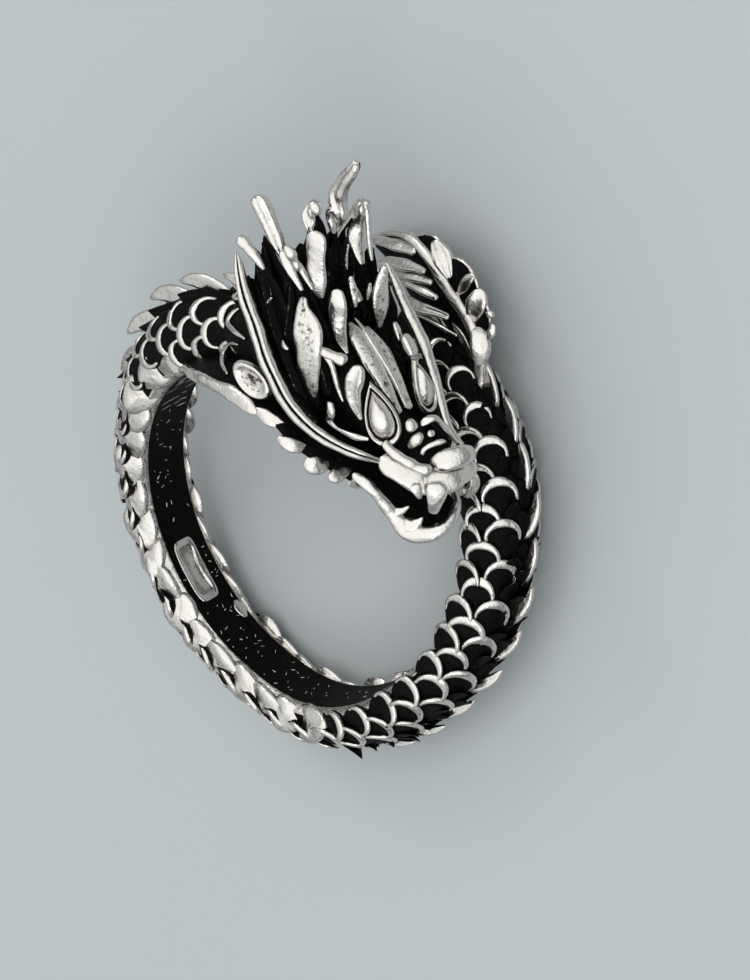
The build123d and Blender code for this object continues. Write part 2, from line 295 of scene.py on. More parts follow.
# The coil: angle, side of its middle, half width, height and spine height, in mm
COIL_START = 74.0
BODY = [
    (62, 0.0, 1.75, 2.95, 0.9),
    (74, 0.0, 1.80, 3.00, 0.9),
    (92, 0.0, 1.96, 3.25, 1.0),
    (110, 0.0, 2.00, 3.15, 1.1),
    (135, 0.0, 2.00, 2.75, 1.0),
    (165, 0.0, 2.00, 2.50, 0.8),
    (230, 0.0, 2.00, 2.45, 0.7),
    (275, -0.06, 2.00, 2.50, 0.7),
    (300, -1.22, 2.04, 2.50, 0.8),
    (320, -2.50, 2.10, 2.55, 0.9),
    (340, -3.65, 2.10, 2.60, 0.9),
    (360, -4.61, 2.04, 2.60, 1.0),
    (380, -5.38, 1.80, 2.45, 1.0),
    (400, -6.02, 1.32, 2.15, 0.8),
    (418, -6.40, 0.72, 1.50, 0.3),
]
COIL_END = BODY[-1][0]
# Where the rows of scales and claws start, and how far they run in degrees
ROW_START, ROW_LENGTH = COIL_START + 4, COIL_END - COIL_START - 12

# Half a section of the coil from the middle of its inner wall to the crest:
# share of height, share of half width, polish
SECTION = np.array([
    (0.000, 0.00, 0.05), (0.000, 0.20, 0.05), (0.000, 0.40, 0.05), (0.000, 0.55, 0.05), (0.002, 0.595, 0.20),
    (0.012, 0.63, 1.00), (0.040, 0.70, 1.00), (0.085, 0.78, 1.00), (0.120, 0.83, 1.00), (0.145, 0.85, 0.80),
    (0.165, 0.85, 0.00), (0.300, 0.90, 0.00), (0.400, 0.90, 0.00), (0.500, 0.87, 0.00), (0.600, 0.80, 0.00),
    (0.700, 0.70, 0.00), (0.800, 0.56, 0.00), (0.880, 0.40, 0.00), (0.940, 0.24, 0.00), (0.980, 0.08, 0.00),
])


def body_at(angle):
    """Side, half width, height and spine height of the coil at some angles."""
    table = np.array(BODY, float)
    return flowing(table[:, 1:], table[:, 0], np.atleast_1d(angle))


def flank_spot(angle, share, hand):
    """Points on one flank at a share of the coil's height, on the hand side of it."""
    side, half, height, _ = body_at(angle).T
    width = np.interp(share, SECTION[5:, 0], SECTION[5:, 1])
    return spots(FINGER_RADIUS + share * height, angle, side + hand * width * half)


def core_spot(angle, turn, table):
    """Points on the surface of a core at some angles and some turns round its section."""
    rows = flowing([row[1:] for row in table], [-row[0] for row in table], -angle)
    top, widest, low, half_top, half_wide, middle = rows.T
    flat, rise = np.cos(turn), np.sin(turn)
    half = half_wide + (half_top - half_wide) * np.clip(rise, 0, 1) ** 2 * 0.6
    radius = widest + np.where(rise > 0, top - widest, widest - low) * rise
    return spots(radius, angle, middle + half * np.sign(flat) * np.abs(flat) ** 0.7)


def surface_frame(spot, middle, angle, place, which):
    """Places on a surface, with the ways along the ring, across it and out from the middle."""
    here = spot(angle, place, which)
    along = unit(spot(angle + 0.5, place, which) - spot(angle - 0.5, place, which))
    up = spot(angle, place + 0.05, which) - spot(angle, place - 0.05, which)
    out = unit(np.cross(along, up))
    out = out * np.sign(np.sum(out * (here - middle), axis=-1, keepdims=True))
    return here, along, np.cross(out, along), out


def flank_frame(angle, share, hand):
    """Places on one flank, with the ways along the coil, across it and out of it."""
    side, _, height, _ = body_at(angle).T
    middle = spots(FINGER_RADIUS + 0.5 * height, angle, side)
    return surface_frame(flank_spot, middle, angle, share, hand)


def linear(hexcode):
    """An sRGB hex colour as linear red, green, blue and alpha."""
    values = [int(hexcode[i : i + 2], 16) / 255 for i in (0, 2, 4)]
    return [v / 12.92 if v <= 0.04045 else ((v + 0.055) / 1.055) ** 2.4 for v in values] + [1.0]


def add(tree, kind, settings=None, **inputs):
    """One node with its settings, its values and its links."""
    node = tree.nodes.new(kind)
    for name, value in (settings or {}).items():
        setattr(node, name, value)
    for name, value in inputs.items():
        wanted = name.replace("_", " ")
        sockets = [s for s in node.inputs if s.enabled and s.name == wanted]
        socket = sockets[0] if sockets else node.inputs[int(name[1:])]
        if isinstance(value, bpy.types.NodeSocket):
            tree.links.new(value, socket)
        else:
            socket.default_value = value
    return node


def antique_silver():
    """Sterling silver, cast, blackened and buffed: raised forms shine and hollows stay black."""
    sizes = bpy.context.scene.dragon_ring
    paint = bpy.data.materials.new("antique_silver")
    paint.use_nodes = True
    tree = paint.node_tree
    tree.nodes.clear()
    place = add(tree, "ShaderNodeTexCoord").outputs["Object"]
    made = add(tree, "ShaderNodeAttribute", {"attribute_name": "polish"}).outputs["Fac"]
    rub = add(tree, "ShaderNodeAttribute", {"attribute_name": "rub"}).outputs["Fac"]
    mark = add(tree, "ShaderNodeMath", {"operation": "ADD"}, _0=made, _1=rub).outputs[0]
    # Buffing wears the black away unevenly, in patches about 0.2 mm across
    wear = add(tree, "ShaderNodeTexNoise", Vector=place, Scale=4500.0, Detail=3.0, Roughness=0.6)
    uneven = add(
        tree, "ShaderNodeMath", {"operation": "MULTIPLY_ADD"}, _0=wear.outputs["Fac"], _1=0.5, _2=mark
    )
    bright = add(
        tree, "ShaderNodeMapRange", {"interpolation_type": "SMOOTHSTEP"},
        Value=uneven.outputs[0], From_Min=0.55, From_Max=0.85,
    )
    # Grains of bright metal show in the black, about 0.06 mm across
    grain = add(tree, "ShaderNodeTexNoise", Vector=place, Scale=11000.0, Detail=2.0, Roughness=0.5)
    fleck = add(
        tree, "ShaderNodeMapRange", Value=grain.outputs["Fac"], From_Min=0.66, From_Max=0.76, To_Max=0.30
    )
    shine = add(tree, "ShaderNodeMath", {"operation": "MAXIMUM"}, _0=bright.outputs[0], _1=fleck.outputs[0])
    # The black thins out over a narrow brown edge
    colour = add(tree, "ShaderNodeValToRGB", Fac=shine.outputs[0])
    stops = colour.color_ramp.elements
    stops[0].color = (*sizes.black, 1.0)
    stops[1].position = 0.75
    stops[1].color = (*sizes.silver, 1.0)
    stops.new(0.30).color = linear("3C322F")
    rough = add(tree, "ShaderNodeMapRange", Value=shine.outputs[0], To_Min=0.55, To_Max=0.24)
    # The cast skin is uneven by some hundredths of a millimetre
    skin = add(tree, "ShaderNodeTexNoise", Vector=place, Scale=1900.0, Detail=4.0, Roughness=0.6)
    bump = add(tree, "ShaderNodeBump", Strength=0.8, Distance=0.00008, Height=skin.outputs["Fac"])
    shader = add(
        tree, "ShaderNodeBsdfPrincipled",
        Base_Color=colour.outputs["Color"], Metallic=shine.outputs[0], Roughness=rough.outputs[0],
        Normal=bump.outputs[0], Specular_IOR_Level=0.07,
    )
    add(tree, "ShaderNodeOutputMaterial", Surface=shader.outputs[0])
    return paint


def metal():
    """The ring's one metal."""
    return bpy.data.materials.get("antique_silver") or antique_silver()


def scatter_tree(name):
    """Geometry nodes that set a pattern on every point of a row and give it its metal."""
    tree = bpy.data.node_groups.new(name, "GeometryNodeTree")
    for label, kind in (
        ("Row", "Geometry"), ("Pattern", "Object"), ("Wobble", "Float"), ("Seed", "Int"),
        ("Metal", "Material"),
    ):
        tree.interface.new_socket(label, in_out="INPUT", socket_type="NodeSocket" + kind)
    tree.interface.new_socket("Cast", in_out="OUTPUT", socket_type="NodeSocketGeometry")
    given = add(tree, "NodeGroupInput").outputs
    low = add(tree, "ShaderNodeMath", {"operation": "MULTIPLY"}, _0=given["Wobble"], _1=-1.0)
    shake = add(
        tree, "FunctionNodeRandomValue", {"data_type": "FLOAT_VECTOR"},
        Min=low.outputs[0], Max=given["Wobble"], Seed=given["Seed"],
    )
    turn = add(tree, "GeometryNodeInputNamedAttribute", {"data_type": "FLOAT_VECTOR"}, Name="turn")
    size = add(tree, "GeometryNodeInputNamedAttribute", {"data_type": "FLOAT_VECTOR"}, Name="size")
    angle = add(
        tree, "ShaderNodeVectorMath", {"operation": "ADD"},
        _0=turn.outputs["Attribute"], _1=shake.outputs["Value"],
    )
    way = add(tree, "FunctionNodeEulerToRotation", Euler=angle.outputs[0])
    shape = add(tree, "GeometryNodeObjectInfo", Object=given["Pattern"])
    placed_on = add(
        tree, "GeometryNodeInstanceOnPoints", Points=given["Row"], Instance=shape.outputs["Geometry"],
        Rotation=way.outputs[0], Scale=size.outputs["Attribute"],
    )
    real = add(tree, "GeometryNodeRealizeInstances", Geometry=placed_on.outputs[0])
    silver = add(tree, "GeometryNodeSetMaterial", Geometry=real.outputs[0], Material=given["Metal"])
    tree.links.new(silver.outputs[0], add(tree, "NodeGroupOutput").inputs[0])
    return tree


def scattered(name, shape, rows, wobble=0.03, seed=1):
    """One piece made of a pattern set at every place of some rows, each with its own turn and size.

    A row is its places, the ways along, across and out of each, their sizes and how bright they are rubbed.
    """
    here, along, across, out, size, rub = (np.concatenate(column) for column in zip(*rows))
    mesh = bpy.data.meshes.new(name + "_places")
    mesh.from_pydata(placed(here), [], [])
    ways = np.stack([along, across, out], axis=1) @ TURN.T
    turn = [Matrix(way.tolist()).transposed().to_euler("XYZ")[:] for way in ways]
    for label, values in (("turn", turn), ("size", size), ("rub", rub)):
        values = np.array(values, np.float32)
        kind, field = ("FLOAT", "value") if values.ndim == 1 else ("FLOAT_VECTOR", "vector")
        mesh.attributes.new(label, kind, "POINT").data.foreach_set(field, values.ravel())
    holder = linked(name + "_places", mesh)
    rule = holder.modifiers.new("Set in rows", "NODES")
    rule.node_group = scatter_tree(name + "_nodes")
    values = {"Pattern": shape, "Wobble": wobble, "Seed": seed, "Metal": metal()}
    for socket in rule.node_group.interface.items_tree:
        if socket.name in values:
            rule[socket.identifier] = values[socket.name]
    mesh = bpy.data.meshes.new_from_object(holder.evaluated_get(bpy.context.evaluated_depsgraph_get()))
    holder.modifiers.remove(rule)
    bpy.data.objects.remove(holder)
    bpy.data.objects.remove(shape)
    mesh.polygons.foreach_set("use_smooth", [True] * len(mesh.polygons))
    settled(linked(name, mesh))


def scale_pattern():
    """One scale: a sunken plate that rises to a rounded free edge, where a bright flat rim stands."""
    front, back, half = 0.90, 1.05, 0.84
    turn = corners(30)
    ahead = np.cos(turn)
    reach = np.where(ahead > 0, front, back)
    rims = step(-0.48, -0.02, ahead)
    # The rim is broad at the tip of the scale and thins out along its sides
    broad = 0.17 + 0.25 * np.clip(ahead, 0, 1) ** 1.3
    rings = []
    for share, lift, mark in (
        (0.02, 0.03, 0.0), (0.22, 0.02, 0.0), (1 - 1.75 * broad, -0.03, 0.0), (1 - 1.30 * broad, -0.05, 0.0),
        (1 - broad, 0.03, 0.6), (1 - 0.85 * broad, 0.055, 0.8), (1 - 0.40 * broad, 0.060, 0.9),
        (0.985, 0.045, 0.9), (1.01, -0.02, 0.5), (1.02, -0.14, 0.0), (1.0, -0.30, 0.0),
    ):
        x = reach * share * ahead
        y = half * share * np.sin(turn)
        rise = 0.04 + 0.24 * step(-0.8, 0.6, x) - 0.10 * (y / half) ** 2
        rise = rise + lift * np.where(np.array(share) > 0.55, rims, 1)
        rings.append((np.stack([x, y, rise], axis=-1), mark * rims))
    return pattern("scale_pattern", rings)


def pebble_pattern():
    """One scale worn down to a pebble: a low bright dome with black left only round its foot."""
    turn = corners(22)
    rings = []
    for share, lift, mark in (
        (0.03, 0.15, 1.0), (0.22, 0.15, 1.0), (0.45, 0.12, 0.9), (0.70, 0.08, 0.8), (0.88, 0.00, 0.7),
        (0.97, -0.08, 0.55), (1.00, -0.25, 0.45),
    ):
        x = 1.28 * share * np.cos(turn)
        y = 0.98 * share * np.sin(turn) * (1 - 0.25 * np.cos(turn))
        rise = lift + 0.10 * x + 0.06 * share * np.cos(3 * turn + 1.0) * (share < 0.9)
        rings.append((np.stack([x, y, rise], axis=-1), mark))
    return pattern("pebble_pattern", rings)


class BuildBand(bpy.types.Operator):
    """Builds the smooth inner wall and the core of the coil"""

    bl_idname = "dragon_ring.band"
    bl_label = "Band"

    def execute(self, context):
        up, wide, polish = np.concatenate([SECTION[::-1], SECTION[1:] * [1, -1, 1]]).T
        sections = 520
        angle = np.linspace(COIL_START, COIL_END, sections)[:, None]
        side, width, height, _ = body_at(angle[:, 0]).T[:, :, None]
        cast = Cast()
        cast.add_rows(spots(FINGER_RADIUS + height * up, angle, side + width * wide), polish)
        settled(cast.made("band"))
        return {"FINISHED"}


# Rows of scales on a flank: share of the height, angle at which the near row begins to be worn, how many
# of its scales are worn down to pebbles, and how bright the others are rubbed
FLANK_ROWS = ((0.30, 92, 0.85, 0.42), (0.55, 140, 0.30, 0.30), (0.80, 200, 0.0, 0.0))


class BuildScales(bpy.types.Operator):
    """Sets the rows of scales on both flanks and the nape"""

    bl_idname = "dragon_ring.scales"
    bl_label = "Scales"

    def execute(self, context):
        count = context.scene.dragon_ring.scale_count
        pitch = ROW_LENGTH / count
        dice = np.random.default_rng(11)
        for hand, side, low in ((1, "near", 1.0), (-1, "far", 0.85)):
            crisp, worn = [], []
            for row, (share, start, pebbled, bright) in enumerate(FLANK_ROWS):
                # Every other row is half a scale further on, and no scale stands quite in its place
                angle = ROW_START + pitch * (np.arange(-3, count) + 0.5 * (row % 2))
                angle = angle + dice.uniform(-0.08, 0.08, len(angle)) * pitch
                half = body_at(angle)[:, 1] / 2.0
                large = np.stack([half**0.5, half, half**0.5 * low], axis=-1)
                large = large * dice.uniform(0.88, 1.08, (len(angle), 3))
                # The fingers of the wearer rub the scales beside the inner edge down to bright pebbles
                rub = step(110, 140, angle)
                if hand > 0:
                    rub = step(start, start + 22, angle) * (1 - step(262, 285, angle))
                smooth = (rub * pebbled + dice.uniform(-0.15, 0.15, len(angle))) > 0.45
                rub = rub * bright + dice.uniform(-0.03, 0.03, len(angle))
                rub[smooth] = 0.0 if hand > 0 else 0.5
                columns = (*flank_frame(angle, share, hand), large, rub)
                crisp.append([column[~smooth] for column in columns])
                worn.append([column[smooth] for column in columns])
            scattered("scales_" + side, scale_pattern(), crisp, wobble=0.06, seed=4)
            scattered("pebbles_" + side, pebble_pattern(), worn, wobble=0.26, seed=6)
        # Four rows of four over the nape, every other one half a scale further round
        row, place = np.divmod(np.arange(16), 4)
        angle = 77 - 4.5 * row
        turn = np.radians(84.5 + 25 * place - 12.5 * (row % 2))
        middle = spots(HEAD_MIDDLE, angle, 0.0)
        nape = (*surface_frame(core_spot, middle, angle, turn, SKULL), np.full((16, 3), 0.88), 0 * angle)
        scattered("scales_nape", scale_pattern(), [nape], wobble=0.06, seed=7)
        return {"FINISHED"}


def spine_pattern():
    """One spine of the crest: a thin leaf that curves back along the coil to a pointed tip."""
    count = 16
    line = [
        (-0.9, -0.3, 0.24), (-0.45, 0.04, 0.35), (0.12, 0.36, 0.34), (0.72, 0.56, 0.24), (1.35, 0.6, 0.05),
    ]
    flow = flowing(line, np.linspace(0, 1, 5), count)
    along = unit(np.gradient(flow[:, :2], axis=0))
    turn = corners(14)
    end = np.sqrt(1 - np.clip((np.linspace(0, 1, count) - 0.94) / 0.06, 0, 0.97) ** 2)
    rings = []
    for (x, z, half), (forward, upward), cap in zip(flow, along, end):
        wide = half * cap * np.cos(turn)
        thick = 0.18 * cap * np.sin(turn) * (1 - 0.45 * np.exp(-((np.cos(turn) / 0.5) ** 2)))
        ring = np.stack([x - upward * wide, thick, z + forward * wide], axis=-1)
        rings.append((ring, step(-0.15, 0.20, ring[:, 2])))
    return pattern("spine_pattern", rings)


def thorn_pattern():
    """One pointed scale beside the crest: a broad dark claw that stands out from the flank."""
    count = 10
    line = [(-0.55, -0.20, 0.36), (-0.05, 0.06, 0.44), (0.36, 0.30, 0.32), (0.66, 0.62, 0.04)]
    turn = corners(10)
    rings = []
    for i, (x, z, half) in enumerate(flowing(line, [0.0, 0.4, 0.75, 1.0], count)):
        ring = np.stack([x + 0 * turn, half * np.cos(turn), z + 0.35 * half * np.sin(turn)], axis=-1)
        mark = 0.40 * step(0.35, 1.0, i / (count - 1)) * step(0.3, 0.9, np.abs(np.cos(turn)))
        rings.append((ring, mark))
    return pattern("thorn_pattern", rings)


def crest_spot(angle, sink=0.0):
    """Points on the top of the coil, sunk by some mm."""
    side, _, height, _ = body_at(angle).T
    return spots(FINGER_RADIUS + height - sink, angle, side)


# Claws beside the crest for each scale of a row
CLAWS_TO_SCALES = 1.6


class BuildCrest(bpy.types.Operator):
    """Sets the spines along the crest and the thorns beside them"""

    bl_idname = "dragon_ring.crest"
    bl_label = "Crest"

    def execute(self, context):
        sizes = context.scene.dragon_ring
        # The spines beside the head are larger and stand further apart
        wide_apart = ROW_START + 13.0 * np.arange(6)
        angle = np.linspace(wide_apart[-1] + 11, COIL_END - 12, sizes.spine_count - 6)
        angle = np.concatenate([wide_apart, angle])
        large = 1 + 0.28 * (1 - step(125, 160, angle))
        # The back of the ring, which the palm rubs, has the crest worn low
        low = step(140, 165, angle) * (1 - step(255, 285, angle))
        spine = body_at(angle)[:, 3] * (1 - 0.45 * low)
        size = np.stack([large * (0.8 + 0.3 * spine), 0.9 + 0.2 * spine, 1.15 * large * spine], axis=-1)
        along = unit(crest_spot(angle + 0.5) - crest_spot(angle - 0.5))
        out = square_to(along, spots(1.0, angle, 0.0))
        row = (crest_spot(angle, sink=0.10), along, np.cross(out, along), out, size, 0 * angle)
        scattered("spines", spine_pattern(), [row], wobble=0.08, seed=9)
        rows = []
        count = int(CLAWS_TO_SCALES * sizes.scale_count)
        pitch = ROW_LENGTH / sizes.scale_count / CLAWS_TO_SCALES
        for hand, tall in ((1, 0.85), (-1, 0.6)):
            for row, share in ((0, 0.97), (1, 0.90)):
                angle = ROW_START + pitch * (np.arange(count) + 0.5 * row)
                angle = angle[(angle < 150) | (angle > 268)]
                large = (0.95 + 0.25 * np.sin(angle * 1.7 + row)) * body_at(angle)[:, 1] / 2.0
                size = large[:, None] * [1.0, 1.0, tall]
                rows.append((*flank_frame(angle, share, hand), size, 0 * angle))
        scattered("thorns", thorn_pattern(), rows, wobble=0.16, seed=5)
        return {"FINISHED"}


# The dark core of the head: angle, top, widest and lowest distance, half width at the top and at the
# widest place, and side of its middle
SKULL = [
    (84, 11.7, 10.6, 9.3, 0.6, 1.5, 0.0),
    (73, 12.7, 10.8, 9.1, 0.9, 2.1, 0.1),
    (61, 13.3, 10.9, 9.1, 1.0, 2.35, 0.15),
    (51, 13.1, 10.9, 9.1, 0.9, 2.2, 0.1),
    (42, 12.8, 11.0, 9.2, 0.75, 1.95, 0.05),
    (35, 12.3, 11.0, 9.6, 0.7, 1.7, 0.0),
    (29, 11.8, 11.0, 10.1, 0.6, 1.5, 0.0),
    (25, 11.7, 11.2, 10.5, 0.7, 1.3, 0.0),
    (19, 11.9, 11.3, 10.8, 0.8, 1.2, -0.1),
    (15.5, 11.9, 11.5, 11.1, 0.6, 0.9, -0.15),
]
THROAT = [
    (108, 9.5, 9.3, 9.0, 0.9, 1.2, 0.0),
    (95, 9.7, 9.35, 9.0, 1.4, 2.3, 0.0),
    (80, 9.8, 9.35, 9.0, 2.4, 3.6, 0.0),
    (64, 9.85, 9.35, 9.0, 2.7, 3.9, 0.0),
    (50, 9.85, 9.35, 9.0, 2.7, 3.9, 0.0),
    (40, 9.85, 9.35, 9.0, 2.4, 3.75, 0.30),
    (31, 9.8, 9.35, 9.0, 1.6, 3.15, 0.40),
    (22, 9.7, 9.35, 9.0, 1.1, 2.2, 0.35),
    (14, 9.5, 9.3, 9.0, 1.0, 1.55, 0.10),
    (6, 9.5, 9.3, 9.0, 0.95, 1.3, -0.05),
    (1, 9.75, 9.5, 9.0, 0.75, 1.05, -0.15),
    (-1.5, 10.1, 9.9, 9.5, 0.3, 0.6, -0.25),
]

# Strands: style, tilt of the face, then the path in rows of distance, angle, side, half width and half
# thickness, and last its dark root or its ripple, if it has one
BRIDGE = [
    # Worn ridges between the eyes
    ("worn", 20, (13.75, 48.6, 0.28, 0.1, 0.06), (13.6, 46, 0.41, 0.34, 0.2), (13.35, 42.6, 0.5, 0.42, 0.25),
     (12.95, 38.5, 0.49, 0.4, 0.24), (12.5, 33.4, 0.44, 0.3, 0.18), (12.2, 28.9, 0.39, 0.18, 0.11)),
    ("worn", 0, (13.6, 46.5, -0.37, 0.1, 0.06), (13.4, 43.2, -0.35, 0.26, 0.16),
     (13.1, 38.6, -0.28, 0.32, 0.19), (12.65, 33.7, -0.22, 0.28, 0.17), (12.3, 28.6, -0.15, 0.18, 0.11)),
    ("round", 10, (13.9, 48.5, 0.03, 0.06, 0.06), (13.7, 44.1, 0.09, 0.13, 0.12), (13.3, 39, 0.1, 0.15, 0.14),
     (12.75, 33.3, 0.02, 0.13, 0.12), (12.4, 29.1, 0.02, 0.08, 0.07)),
    # Near brow, its hanging strand and the lid
    ("round", 50, (13.36, 48.8, 2.55, 0.12, 0.11), (13.5, 47, 2.5, 0.2, 0.18), (13.52, 45.2, 2.35, 0.22, 0.2),
     (13.54, 43.3, 2.15, 0.26, 0.23), (13.53, 41.6, 1.95, 0.26, 0.23), {"ripple": 0.1}),
    ("round", 50, (13.47, 46, 2.4, 0.16, 0.14), (13.25, 43.9, 2.35, 0.14, 0.13),
     (12.75, 42.1, 2.3, 0.13, 0.12), (12.2, 40.2, 2.25, 0.1, 0.09), (11.8, 37.8, 2.2, 0.06, 0.06)),
    ("leaf", 50, (13.94, 39.2, 1.9, 0.26, 0.2), (13.42, 38.3, 2.05, 0.42, 0.3), (12.75, 37.1, 2.1, 0.4, 0.28),
     (12.12, 35, 2.05, 0.26, 0.18), (11.66, 32.4, 1.95, 0.08, 0.06)),
    # Far brow
    ("round", -5, (13.91, 40.7, -1.3, 0.24, 0.22), (13.65, 38.7, -1.3, 0.34, 0.31),
     (13.36, 36.5, -1.35, 0.26, 0.23)),
    ("round", -5, (14.05, 43.5, -1.3, 0.1, 0.09), (13.77, 42.1, -1.3, 0.2, 0.18),
     (13.39, 40.7, -1.35, 0.12, 0.11), {"ripple": 0.1}),
    # Fold under the near eye
    ("round", 45, (11.1, 40.6, 2.4, 0.08, 0.08), (11.31, 39.9, 2.45, 0.16, 0.13),
     (11.01, 38.6, 2.45, 0.24, 0.19), (10.5, 38.1, 2.42, 0.16, 0.13), (10.47, 35.9, 2.4, 0.09, 0.07),
     (10.75, 32.9, 2.35, 0.12, 0.1), (11.1, 30.2, 2.28, 0.16, 0.13), (11.52, 27.9, 2.15, 0.08, 0.06)),
]
SNOUT = [
    # Nostrils and the ridges round them
    ("round", 40, (12.16, 21.9, 1, 0.12, 0.1), (12.49, 22.1, 0.95, 0.22, 0.16),
     (12.86, 22.5, 0.8, 0.24, 0.17), (13, 22.7, 0.6, 0.14, 0.11)),
    ("round", 30, (13.16, 22.2, 0.5, 0.12, 0.1), (13.24, 21.8, 0.35, 0.16, 0.13),
     (13.26, 21.5, 0.2, 0.1, 0.08)),
    ("round", 10, (13.06, 24.3, 0.5, 0.1, 0.09), (13.29, 24.4, 0.2, 0.2, 0.18), (13.54, 24, 0, 0.16, 0.14),
     (13.24, 22.4, -0.4, 0.16, 0.14), (13.04, 20.2, -0.7, 0.16, 0.14), (12.82, 17.7, -1, 0.1, 0.09)),
    ("round", 30, (13.14, 26.4, 0.95, 0.18, 0.14), (13.05, 25.2, 0.95, 0.28, 0.22),
     (12.91, 24, 0.9, 0.26, 0.21)),
    ("dark", 35, (11.8, 21, 1, 0.2, 0.2), (12.1, 19, 0.5, 0.5, 0.3), (12.3, 18.2, -0.2, 0.5, 0.3),
     (12.4, 18, -0.9, 0.2, 0.2)),
    ("round", 40, (12.33, 19.2, 0.75, 0.1, 0.09), (12.6, 19.9, 0.65, 0.12, 0.11),
     (12.94, 19.8, 0.35, 0.13, 0.12), (13.15, 19.4, 0.05, 0.12, 0.11), (13.27, 19, -0.1, 0.06, 0.06)),
    # Edge of the upper lip, tip of the nose, and the lip itself
    ("round", 40, (11.86, 25.7, 1.75, 0.16, 0.14), (11.91, 23.5, 1.75, 0.22, 0.2),
     (12.01, 21.4, 1.65, 0.24, 0.22), (12.12, 18.9, 1.4, 0.24, 0.22), (12.24, 16.8, 1.1, 0.26, 0.23),
     (12.48, 15.2, 0.75, 0.3, 0.27), {"ripple": 0.08}),
    ("round", 35, (12.11, 16, 0.45, 0.2, 0.14), (12.5, 16.1, 0.3, 0.4, 0.24), (12.94, 15.8, 0, 0.52, 0.28),
     (13.2, 15.4, -0.4, 0.52, 0.28), (13.34, 14.9, -0.8, 0.42, 0.26), (13.4, 14.7, -1.2, 0.26, 0.2)),
    ("plate", 38, (11.45, 23.4, 1.7, 0.3, 0.15), (11.32, 21.2, 1.75, 0.48, 0.24),
     (11.5, 18.8, 1.65, 0.5, 0.25), (11.64, 16.2, 1.35, 0.54, 0.27), (11.84, 13.5, 0.9, 0.6, 0.3),
     (12.25, 11.9, 0.35, 0.56, 0.28), (12.65, 11.6, -0.3, 0.44, 0.22), (12.72, 11.7, -1, 0.36, 0.18),
     (12.8, 12.7, -1.4, 0.2, 0.1)),
    # Fang and teeth
    ("round", 40, (12.66, 12.8, 0.9, 0.52, 0.2), (12.43, 10.8, 1, 0.46, 0.2), (12.11, 8.8, 1.05, 0.36, 0.18),
     (11.86, 7.6, 1.03, 0.28, 0.15), (11.62, 6.6, 1, 0.2, 0.12)),
    ("plate", 40, (11.85, 14.5, 1.5, 0.34, 0.2), (11.82, 12.8, 1.5, 0.24, 0.14),
     (11.71, 10.9, 1.45, 0.08, 0.06)),
    ("leaf", 25, (12.62, 10.5, -1.2, 0.2, 0.16), (12.32, 8.5, -1.3, 0.26, 0.21),
     (11.85, 6.8, -1.35, 0.24, 0.19), (11.37, 5.6, -1.35, 0.12, 0.1)),
]
LOWER_JAW = [
    ("round", 50, (9.57, 23.9, 2.5, 0.18, 0.15), (9.76, 20.4, 2.3, 0.26, 0.2), (9.78, 16.7, 2.05, 0.26, 0.2),
     (9.65, 12.5, 1.75, 0.28, 0.22), (9.6, 7.8, 1.5, 0.34, 0.24), (9.74, 4.4, 1.35, 0.42, 0.29),
     (10.11, 2.3, 1.15, 0.46, 0.32), (10.66, 1.4, 0.9, 0.38, 0.27), (11.14, 1.5, 0.5, 0.3, 0.24),
     (11.41, 2.3, 0.1, 0.26, 0.21), (11.44, 3.8, -0.35, 0.24, 0.19), (11.28, 5.4, -0.8, 0.2, 0.17),
     (10.85, 8.5, -1.2, 0.18, 0.16), (10.35, 13, -1.45, 0.14, 0.14)),
    ("round", 50, (9.71, 15.8, 1.9, 0.14, 0.11), (9.52, 12.1, 1.75, 0.26, 0.19), (9.62, 9.4, 1.5, 0.3, 0.22),
     (9.99, 9.1, 1.35, 0.2, 0.16), (10.48, 9.7, 1.2, 0.05, 0.06)),
    ("round", 50, (9.58, 7.2, 1.5, 0.26, 0.19), (9.82, 4.8, 1.3, 0.42, 0.3), (10.26, 4.6, 1.12, 0.36, 0.27),
     (10.52, 5.2, 1.05, 0.2, 0.16), (10.78, 6, 0.98, 0.05, 0.06)),
    ("dark", 45, (9.9, 10.5, -1, 0.3, 0.1), (10.5, 7, -0.65, 0.5, 0.1), (10.9, 4.6, -0.3, 0.52, 0.1),
     (11, 2.8, 0.1, 0.35, 0.1)),
    ("round", 50, (10.75, 1.7, 0.7, 0.2, 0.16), (11.02, 2.6, 0.55, 0.16, 0.13),
     (11.03, 3.3, 0.5, 0.07, 0.06)),
]
